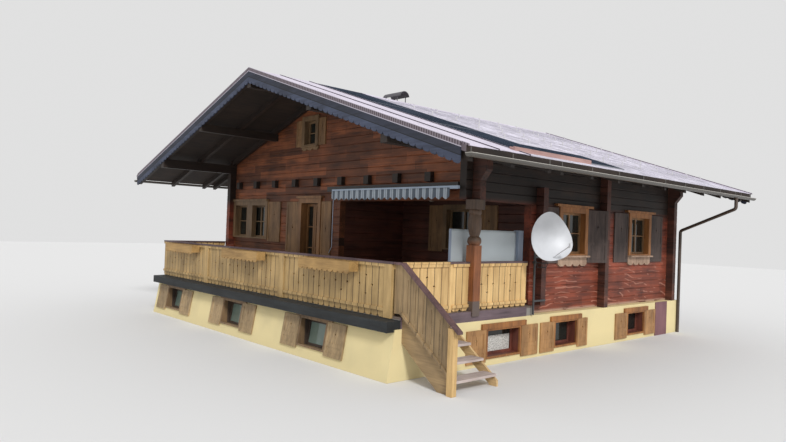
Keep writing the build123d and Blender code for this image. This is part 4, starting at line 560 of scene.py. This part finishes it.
def metal(name, tint, stain, roughness=0.4, metallic=0.0, wear=0.3):
    """Painted or bare sheet with duller patches."""
    unevenness = 0.2
    shader = Shader(name, tint, roughness, metallic)
    mask = shader.dirt(size=3.0, amount=wear)
    shader.cover(mask["Patches"], stain)
    uneven = shader.plus(shader.times(mask["Speckle"], unevenness), roughness - unevenness / 2)
    shader.feed(shader.surface.inputs["Roughness"], uneven)
    return shader


def two_metals(name, first, second, axis, limit, until):
    """Enamel in one colour, and another colour where the place on an axis is between two limits; on the
    gutter that second colour is a painted highlight along the rim.
    """
    shader = Shader(name, first, roughness=0.4)
    place = shader.at[axis]
    shader.cover(shader.times(shader.above(place, limit), shader.below(place, until)), second)
    shader.cover(shader.dirt(size=3.0, amount=0.25)["Patches"], paint(80, 78, 78), strength=0.4)
    return shader


DARK_TIMBER = (paint(25, 19, 16), paint(54, 41, 33))
# darker tints for the loggia walls: painted shade inside the loggia, on the same logs as outside
LOGGIA_SHADE_LOGS = (paint(44, 23, 18), paint(100, 54, 40))

FINISHES = {
    "logs_x": Timber(
        "logs front", paint(52, 28, 18), paint(150, 86, 50), "X",
        boards=("Z", COURSE, 1.7, 0.012), spread=0.9,
        # painted shade on the log ends that stand out past the right wall, from x 5.09 m on
        zones=[("X", LOG_ENDS_X, LOG_ENDS_X + FADE, paint(32, 20, 16), paint(92, 52, 38))],
    ),
    "logs_y": side_logs(),
    "loggia_shade_x": Timber("loggia logs in painted shade across", *LOGGIA_SHADE_LOGS, "X", boards=("Z", COURSE, 2.4, 0.008)),
    "loggia_shade_y": Timber("loggia logs in painted shade along", *LOGGIA_SHADE_LOGS, "Y", boards=("Z", COURSE, 2.4, 0.008)),
    "floor": Timber(
        "floor planks", paint(58, 40, 28), paint(120, 86, 58), "X", boards=("Y", 0.16, 3.0, 0.005)
    ),
    "dark_y": Timber("dark timber along", *DARK_TIMBER, "Y"),
    "dark_x": Timber("dark timber across", *DARK_TIMBER, "X"),
    "windows": window_wood(),
    "joinery": Timber(
        "door casing", paint(88, 60, 34), paint(158, 112, 68), "Z", fineness=1.6, roughness=0.5
    ),
    "honey": Timber(
        "honey boards", paint(120, 84, 50), paint(190, 144, 92), "Z", fineness=1.4, roughness=0.6,
        boards=("Y", 0.14, 9.0, 0.0),
        zones=[("Y", FRONT_FACE_Y, FRONT_FACE_Y - FADE, paint(108, 90, 64), paint(172, 146, 108))],
    ),
    "honey_x": Timber(
        "honey boards front", paint(88, 64, 42), paint(160, 122, 82), "Z", fineness=1.4, roughness=0.6,
        boards=("X", 0.14, 9.0, 0.0),
    ),
    "grey": Timber(
        "weathered boards", paint(42, 34, 32), paint(98, 82, 76), "Z", fineness=1.4, roughness=0.75,
        boards=("Y", 0.15, 9.0, 0.0),
    ),
    "rail_x": Timber(
        "railing planks", paint(142, 116, 74), paint(200, 168, 114), "Z", fineness=1.2, wear=0.0,
        planks=("X", FRONT_PANELS), spread=0.25, gap_tint=paint(48, 34, 20),
    ),
    # painted sunlight: the side railings and the gate are the same planks as the front railing, painted
    # lighter
    "rail_y": Timber(
        "side railing planks", paint(184, 146, 92), paint(232, 196, 136), "Z", fineness=1.2, wear=0.0,
        planks=("Y", SIDE_PANELS), spread=0.2, gap_tint=paint(84, 58, 34),
    ),
    "caps": Timber("cap rails", paint(58, 44, 46), paint(108, 86, 90), "X", fineness=1.2, roughness=0.6),
    "beam": Timber(
        "dark beam", paint(14, 16, 18), paint(42, 46, 48), "X", roughness=0.7, boards=("Z", 0.11, 3.6, 0.012)
    ),
    "edge": Timber("edge boards", paint(74, 60, 66), paint(120, 102, 108), "Y", fineness=1.2, roughness=0.65),
    "deck": Timber(
        "deck boards", paint(96, 82, 74), paint(150, 134, 122), "X", fineness=1.2, roughness=0.75,
        boards=("Y", 0.14, 3.4, 0.006),
    ),
    "barge": barge_paint(),
    "roof": roof_boards(),
    "shingles": shingle_wood(),
    "treads": Timber(
        "stair boards", paint(150, 132, 126), paint(214, 200, 194), "Y", fineness=1.3, roughness=0.75
    ),
    "stringer": Timber(
        "stair stringers", paint(112, 92, 66), paint(176, 148, 108), "X", fineness=1.2, roughness=0.65,
        # painted sunlight: the stringer beyond y -5.2 m is painted lighter than the other one
        zones=[("Y", *STRINGER_SIDES, paint(168, 138, 96), paint(222, 190, 140))],
    ),
    "balustrade": balustrade_wood(),
    "post": turned_post(),
    "box": Timber("planter boards", paint(126, 96, 54), paint(190, 152, 94), "X", fineness=1.3),
    "mauve": Timber("painted panel", paint(98, 62, 68), paint(136, 94, 98), "Z", fineness=1.4, roughness=0.6),
    "plaster": plaster("cream plaster", paint(228, 211, 160), paint(176, 166, 130)),
    "chimney": plaster("chimney plaster", paint(176, 168, 158), paint(120, 114, 108)),
    "concrete": plaster("concrete", paint(150, 146, 140), paint(110, 106, 100)),
    "sheet": metal("roof sheet", paint(74, 72, 78), paint(104, 100, 104), roughness=0.45),
    "verge": verge_sheet(),
    # painted highlight along the gutter's rim
    "gutter": two_metals("gutter sheet", paint(84, 80, 75), paint(186, 182, 174), "Z", *GUTTER_RIM_HIGHLIGHT),
    "pipe": metal("downpipe sheet", paint(74, 62, 54), paint(104, 90, 80), roughness=0.45),
    "dish": two_metals("white enamel", paint(58, 60, 62), paint(214, 216, 220), "X", DISH_BACK_X, FAR_AWAY),
    "iron": metal("dark iron", paint(40, 40, 42), paint(66, 62, 60), roughness=0.5),
    "hook": metal("galvanised hooks", paint(206, 204, 206), paint(170, 168, 172), roughness=0.5),
    "hinge": metal("hinge steel", paint(70, 68, 66), paint(96, 92, 88), metallic=0.8),
    "awning": two_metals("awning case", paint(170, 186, 206), paint(44, 40, 40), "Y", CRANK_Y, FAR_AWAY),
    "screen_post": metal("screen case", paint(146, 158, 178), paint(120, 130, 148), wear=0.2),
    "lamp": metal("milk glass", paint(226, 222, 210), paint(206, 200, 186), roughness=0.3, wear=0.1),
    "rest": Timber(
        "painted lath", paint(150, 112, 106), paint(196, 160, 152), "Y", fineness=1.2, roughness=0.6
    ),
    "collector": collector_glass(),
    "pane": window_pane(),
}

FINISH_OF_NODES = {
    "plaster": "plinth_front plinth_sides plinth_back",
    "concrete": "floor_slab",
    "floor": "floor_boards",
    "deck": "terrace_deck",
    "edge": "deck_edge_boards",
    "beam": "terrace_beam",
    "logs_x": "front_wall_left front_wall_right front_gable back_wall cross_log_ends",
    "logs_y": "loggia_header right_wall left_wall",
    "loggia_shade_x": "loggia_back_wall",
    "loggia_shade_y": "loggia_side_wall",
    "dark_y": "attic_floor purlins",
    "dark_x": "rafters",
    "roof": "roof_right roof_left",
    "verge": "ridge_cap",
    "barge": "barge_boards",
    "gutter": "gutters",
    "pipe": "downpipes",
    "chimney": "chimney",
    "sheet": "chimney_cap",
    "collector": "solar_collectors",
    "windows": "house_windows front_windows",
    "pane": "window_glass door_glass_left door_glass_right",
    "grey": "side_shutters",
    "honey_x": "front_shutters",
    "honey": "cellar_shutters",
    "mauve": "side_panel",
    "hinge": "hinge_pins gate_hinges door_hinges_left door_hinges_right",
    "joinery": "door_casing terrace_door_left terrace_door_right",
    "rail_x": "front_railing",
    "rail_y": "side_railings gate",
    "caps": "rail_caps",
    "treads": "stair_treads",
    "stringer": "stair_stringers",
    "balustrade": "stair_balustrade",
    "post": "carved_post",
    "box": "flower_boxes",
    "awning": "awning_frame",
    "screen_post": "screen_posts",
    "dish": "satellite_dish",
}

for finish_name, node_names in FINISH_OF_NODES.items():
    for node_name in node_names.split():
        for holder in NODES[node_name].material_slots:
            holder.material = FINISHES[finish_name].material

# Building blocks of the new pieces


def bar(mesh, low, high):
    """A squared bar between two corners; gives its corners back."""
    low, high = Vector(low), Vector(high)
    place = Matrix.Translation((low + high) / 2) @ Matrix.Diagonal((*(high - low), 1))
    return bmesh.ops.create_cube(mesh, size=1, matrix=place)["verts"]


def rod(mesh, start, end, radius, sides=12):
    """A round bar between two points."""
    start, end = Vector(start), Vector(end)
    along = end - start
    turn = along.to_track_quat("Z", "Y").to_matrix().to_4x4()
    place = Matrix.Translation((start + end) / 2) @ turn
    bmesh.ops.create_cone(
        mesh, cap_ends=True, segments=sides, radius1=radius, radius2=radius, depth=along.length, matrix=place
    )


def sloped(mesh, side, inner, outer, near, far, low, high):
    """A bar on a slope of the roof: reach from the ridge, place along it and height above the roof."""
    corners = bar(mesh, (inner, near, 0), (outer, far, 1))
    for corner in corners:
        rise = high if corner.co.z > 0.5 else low
        corner.co = (side * corner.co.x, corner.co.y, roof_z(corner.co.x) + rise)
    return corners


def new_object(name, mesh, shader):
    """An object made of a finished mesh, linked to the scene."""
    data = bpy.data.meshes.new(name)
    mesh.to_mesh(data)
    mesh.free()
    data.materials.append(shader.material)
    made = bpy.data.objects.new(name, data)
    bpy.context.scene.collection.objects.link(made)
    return made


def piece(name, mesh, shader, smooth=False):
    """Puts a finished mesh in the scene, on the house."""
    made = new_object(name, mesh, shader)
    for face in made.data.polygons:
        face.use_smooth = smooth
    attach(made, HOUSE)
    return made


def whole(mesh):
    """Turns all faces outwards."""
    bmesh.ops.recalc_face_normals(mesh, faces=mesh.faces)
    return mesh


# Pieces on the roof

COLLECTORS = ((0.15, 6.8, -4.5, -2.78), (5.5, 6.8, -2.95, -0.42))
HOOK_ROWS = (1.35, 2.5, 3.65, 4.8, 5.95)
HOOKS_IN_ROW = 13
HOOK_STEP = 0.9


def add_shingles(side, name, seed):
    """One slope's rows of thin shingles, each lifted at its lower edge."""
    gap, underside, upper_edge, thickness = 0.002, 0.0005, 0.002, 0.011
    draw = random.Random(seed)
    mesh = bmesh.new()
    for row in range(SHINGLE_ROWS):
        inner = SHINGLE_TOP + row * ROW_STEP
        for k in range(SHINGLE_COUNT - row % 2):
            y = SHINGLE_START + (k + row % 2 / 2) * SHINGLE_STEP
            lift = draw.uniform(0.6, 1.0) * thickness
            corners = sloped(
                mesh, side, inner, inner + ROW_STEP, y + gap, y + SHINGLE_STEP - gap, underside, upper_edge
            )
            for corner in corners:
                on_top = corner.co.z > roof_z(corner.co.x) + upper_edge / 2
                if on_top and abs(corner.co.x) > inner + ROW_STEP / 2:
                    corner.co.z += lift - upper_edge
    piece(name, whole(mesh), FINISHES["shingles"])


def verge_bar(mesh, side, inward, inner, outer, first, last, low, high):
    """A bar along a verge, placed by its reach inwards from the edge of the roof."""
    edge = VERGE_FRONT if inward > 0 else VERGE_BACK
    near, far = sorted((edge + inward * first, edge + inward * last))
    sloped(mesh, side, inner, outer, near, far, low, high)


def add_verges():
    """Sheets with raised seams along the verges, a wide one beside the collectors, and the strips' ends."""
    top, sheet_start, sheet_thick, sheet_gap = 0.02, 0.032, 0.014, 0.004
    seam_wide, seam_high, seam_gap, seam_sunk = 0.018, 0.03, 0.012, 0.001
    end_inner, end_outer, end_start, end_stop = EAVE_X - 0.108, EAVE_X + 0.04, 0.002, 0.03
    end_low, end_high = 0.0005, 0.04
    sheets, ends = bmesh.new(), bmesh.new()
    for side in SIDES:
        for inward in (1, -1):
            width = 2 * SEAM_STEP if side > 0 and inward > 0 else VERGE_WIDTH - sheet_gap
            verge_bar(sheets, side, inward, top, EAVE_X, sheet_start, width, 0.0, sheet_thick)
            for k in range(1, int(width / SEAM_STEP) + 1):
                last = k * SEAM_STEP - seam_gap
                first, low = last - seam_wide, sheet_thick - seam_sunk
                verge_bar(sheets, side, inward, top, EAVE_X, first, last, low, seam_high)
            verge_bar(ends, side, inward, end_inner, end_outer, end_start, end_stop, end_low, end_high)
    piece("verge_sheets", whole(sheets), FINISHES["verge"])
    piece("verge_ends", whole(ends), FINISHES["barge"])


def hook_has_room(side, x, y):
    """No hook stands at the back verge, on the wide front sheets or on the collectors."""
    back_margin, sheets_end, foot, front = 0.4, -4.3, 0.2, 0.1
    if y > VERGE_BACK - back_margin:
        return False
    if side < 0:
        return True
    on_collector = any(
        inner < x + front and x - foot < outer and near < y < far for inner, outer, near, far in COLLECTORS
    )
    return y >= sheets_end and not on_collector


def add_snow_hooks():
    """Flat irons in staggered rows, bent up to hold the snow."""
    half, under, thick, tall = 0.014, 0.002, 0.018, 0.105
    foot, stem, nose, nose_end, nose_thick = 0.16, 0.012, 0.05, 0.01, 0.011
    first = VERGE_FRONT + 0.62
    mesh = bmesh.new()
    for side in SIDES:
        for row, x in enumerate(HOOK_ROWS):
            for k in range(HOOKS_IN_ROW):
                y = first + (k + row % 2 / 2) * HOOK_STEP
                if hook_has_room(side, x, y):
                    near, far = y - half, y + half
                    sloped(mesh, side, x - foot, x, near, far, under, thick)
                    sloped(mesh, side, x - stem, x, near, far, thick - under, tall)
                    sloped(mesh, side, x - nose, x - nose_end, near, far, tall - nose_thick, tall)
    piece("snow_hooks", whole(mesh), FINISHES["hook"])


def add_collector_rest():
    """A painted lath across the slope below the collectors, with a foot behind each end."""
    foot_inner, lath_inner, lath_outer = 6.64, 6.72, 6.76
    front, back, foot_wide = -4.55, -2.0, 0.15
    lath_high, foot_high, above_roof = 0.085, 0.06, 0.001
    mesh = bmesh.new()
    sloped(mesh, 1, lath_inner, lath_outer, front, back, above_roof, lath_high)
    for near in (front, back - foot_wide):
        sloped(mesh, 1, foot_inner, lath_inner, near, near + foot_wide, above_roof, foot_high)
    piece("collector_rest", whole(mesh), FINISHES["rest"])


# Pieces at the loggia and on the mast of the dish


def add_loggia_lamp():
    """A flattened glass bowl on a short rod under the ceiling of the loggia."""
    rose_radius, rod_radius, bowl_radius, flatness = 0.07, 0.012, 0.11, 0.75
    ceiling = Vector((2.5, -2.3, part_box("attic_floor")[0].z))
    hidden, rose_foot, rod_foot, bowl_centre = (Vector((0, 0, z)) for z in (0.002, -0.03, -0.2, -0.27))
    mesh = bmesh.new()
    rod(mesh, ceiling + hidden, ceiling + rose_foot, rose_radius, 24)
    rod(mesh, ceiling + rose_foot, ceiling + rod_foot, rod_radius)
    place = Matrix.Translation(ceiling + bowl_centre) @ Matrix.Diagonal((1, 1, flatness, 1))
    bmesh.ops.create_uvsphere(mesh, u_segments=24, v_segments=12, radius=bowl_radius, matrix=place)
    piece("loggia_lamp", whole(mesh), FINISHES["lamp"], smooth=True)


def add_wire_ring():
    """A wire ring with a smaller one below it, clamped to the mast of the dish."""
    top_radius, low_radius, ring_drop = 0.15, 0.1, 0.1
    wire, stay_wire, arm_radius, arm_sunk, stays = 0.006, 0.004, 0.008, 0.002, 6
    mast = Vector((5.35, -1.85, 2.13))
    clamp = Vector((0.032, 0.032, 0.03))
    arm_start = mast + Vector((0.01, 0, 0))
    centre = Vector((5.55, -1.86, 2.13))
    down = Vector((0, 0, -ring_drop))
    mesh = bmesh.new()
    for hub, radius in ((centre, top_radius), (centre + down, low_radius)):
        across = Matrix.Translation(hub + Vector((radius, 0, 0))) @ Matrix.Rotation(pi / 2, 4, "X")
        start = bmesh.ops.create_circle(mesh, segments=8, radius=wire, matrix=across)["verts"]
        rim = list({line for corner in start for line in corner.link_edges})
        bmesh.ops.spin(
            mesh, geom=start + rim, cent=hub, axis=(0, 0, 1), angle=2 * pi, steps=36, use_merge=True
        )
    for k in range(stays):
        turn = k * 2 * pi / stays
        out = Vector((cos(turn), sin(turn), 0))
        rod(mesh, centre + out * top_radius, centre + out * low_radius + down, stay_wire, 6)
    rod(mesh, arm_start, centre - Vector((top_radius - arm_sunk, 0, 0)), arm_radius, 8)
    bar(mesh, mast - clamp, mast + clamp)
    piece("wire_ring", whole(mesh), FINISHES["iron"])


# Cloth of the awning and of the wind screen

CLOTH_THICK = 0.002


def add_cloth(name, columns, rows, shape, shader, node):
    """A grid of cloth in place of its plain solid; shape gives the place for the shares along and up."""
    mesh = bmesh.new()
    for corner in bmesh.ops.create_grid(mesh, x_segments=columns, y_segments=rows, size=0.5)["verts"]:
        corner.co = shape(corner.co.x + 0.5, corner.co.y + 0.5)
    made = piece(name, mesh, shader, smooth=True)
    thick = made.modifiers.new("thickness", "SOLIDIFY")
    thick.thickness = CLOTH_THICK
    thick.offset = 0
    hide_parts(node)


def add_valance():
    """The hanging striped edge of the awning with its scallops."""
    stripes_in_metre, scallops, scallop_depth, fold_depth, gathered = 4.8, 20, 0.06, 0.007, 1.01
    low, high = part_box("awning_cloth")
    width, drop = high.x - low.x, high.z - low.z
    shader = Shader("striped cloth", paint(186, 196, 206), roughness=0.85)
    stripe = shader.math("FRACT", shader.times(shader.at["X"], stripes_in_metre))
    shader.cover(shader.above(stripe, 0.5), paint(104, 114, 126))
    shader.cover(shader.near(stripe, 0.25, 0.04), paint(128, 140, 156))
    shader.bump(shader.noise(shader.place, scale=400.0), strength=0.2, distance=0.001)

    def shape(u, v):
        depth = drop - scallop_depth * (1 - abs(sin(u * scallops * pi)))
        fold = fold_depth * sin(u * scallops * 2 * pi) * (1 - v)
        return (low.x + u * width, (low.y + high.y) / 2 + fold, high.z - (1 - v) * depth)

    add_cloth("awning_valance", 240, 6, shape, shader, "awning_cloth")


def add_screen():
    """The pale cloth of the wind screen."""
    belly = 0.002
    low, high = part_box("screen_cloth")
    width, rise = high.y - low.y, high.z - low.z
    shader = Shader("screen cloth", paint(186, 196, 200), roughness=0.7)
    weave = shader.noise(shader.place, scale=300.0)
    shader.cover(weave, paint(212, 220, 224))
    shader.cover(shader.dirt(size=0.8, amount=0.3)["Patches"], paint(160, 172, 178))
    shader.bump(weave, strength=0.2, distance=0.001)

    def shape(u, v):
        bulge = belly * sin(u * pi) * sin(v * pi)
        return ((low.x + high.x) / 2 + bulge, low.y + u * width, low.z + v * rise)

    add_cloth("wind_screen", 40, 24, shape, shader, "screen_cloth")


add_shingles(1, "shingles_right", 7)
add_shingles(-1, "shingles_left", 8)
add_verges()
add_snow_hooks()
add_collector_rest()
add_loggia_lamp()
add_wire_ring()
add_valance()
add_screen()

# Floor, light and camera

FLOOR_REACH = 60
FLOOR_DROP = 0.002
WORLD_STRENGTH = 0.75
KEY_STRENGTH = 1.9
KEY_DIRECTION = (-0.95, 0.42, -0.75)
KEY_SOFTNESS = radians(12)
CAMERA_PLACE = (13.781, -13.738, 2.770)
CAMERA_YAW = 0.8371
CAMERA_PITCH = 0.0114
CAMERA_ROLL = 0.0376
CAMERA_LENS = 29.27
SENSOR_WIDTH = 36
CLIP_END = 300


def add_floor():
    mesh = bmesh.new()
    bmesh.ops.create_grid(mesh, x_segments=1, y_segments=1, size=FLOOR_REACH)
    floor = new_object("floor", mesh, Shader("floor", paint(222, 222, 222), roughness=0.9))
    floor.location.z = -FLOOR_DROP


def add_light():
    world = bpy.data.worlds.new("studio")
    world.use_nodes = True
    bpy.context.scene.world = world
    background = world.node_tree.nodes["Background"]
    background.inputs["Color"].default_value = (1, 1, 1, 1)
    background.inputs["Strength"].default_value = WORLD_STRENGTH
    lamp = bpy.data.lights.new("key", "SUN")
    lamp.energy = KEY_STRENGTH
    lamp.angle = KEY_SOFTNESS
    key = bpy.data.objects.new("key", lamp)
    bpy.context.scene.collection.objects.link(key)
    key.rotation_euler = Vector(KEY_DIRECTION).to_track_quat("-Z", "Y").to_euler()


def add_camera():
    yaw, pitch, roll = CAMERA_YAW, CAMERA_PITCH, CAMERA_ROLL
    ahead = Vector((-sin(yaw) * cos(pitch), cos(yaw) * cos(pitch), sin(pitch)))
    level = Vector((cos(yaw), sin(yaw), 0))
    upright = level.cross(ahead)
    right = level * cos(roll) + upright * sin(roll)
    up = upright * cos(roll) - level * sin(roll)
    lens = bpy.data.cameras.new("camera")
    lens.sensor_width = SENSOR_WIDTH
    lens.lens = CAMERA_LENS
    lens.clip_end = CLIP_END
    camera = bpy.data.objects.new("camera", lens)
    bpy.context.scene.collection.objects.link(camera)
    turn = Matrix((right, up, -ahead)).transposed().to_4x4()
    camera.matrix_world = Matrix.Translation(CAMERA_PLACE) @ turn
    bpy.context.scene.camera = camera


add_floor()
add_light()
add_camera()
bpy.context.scene.view_settings.view_transform = "Standard"
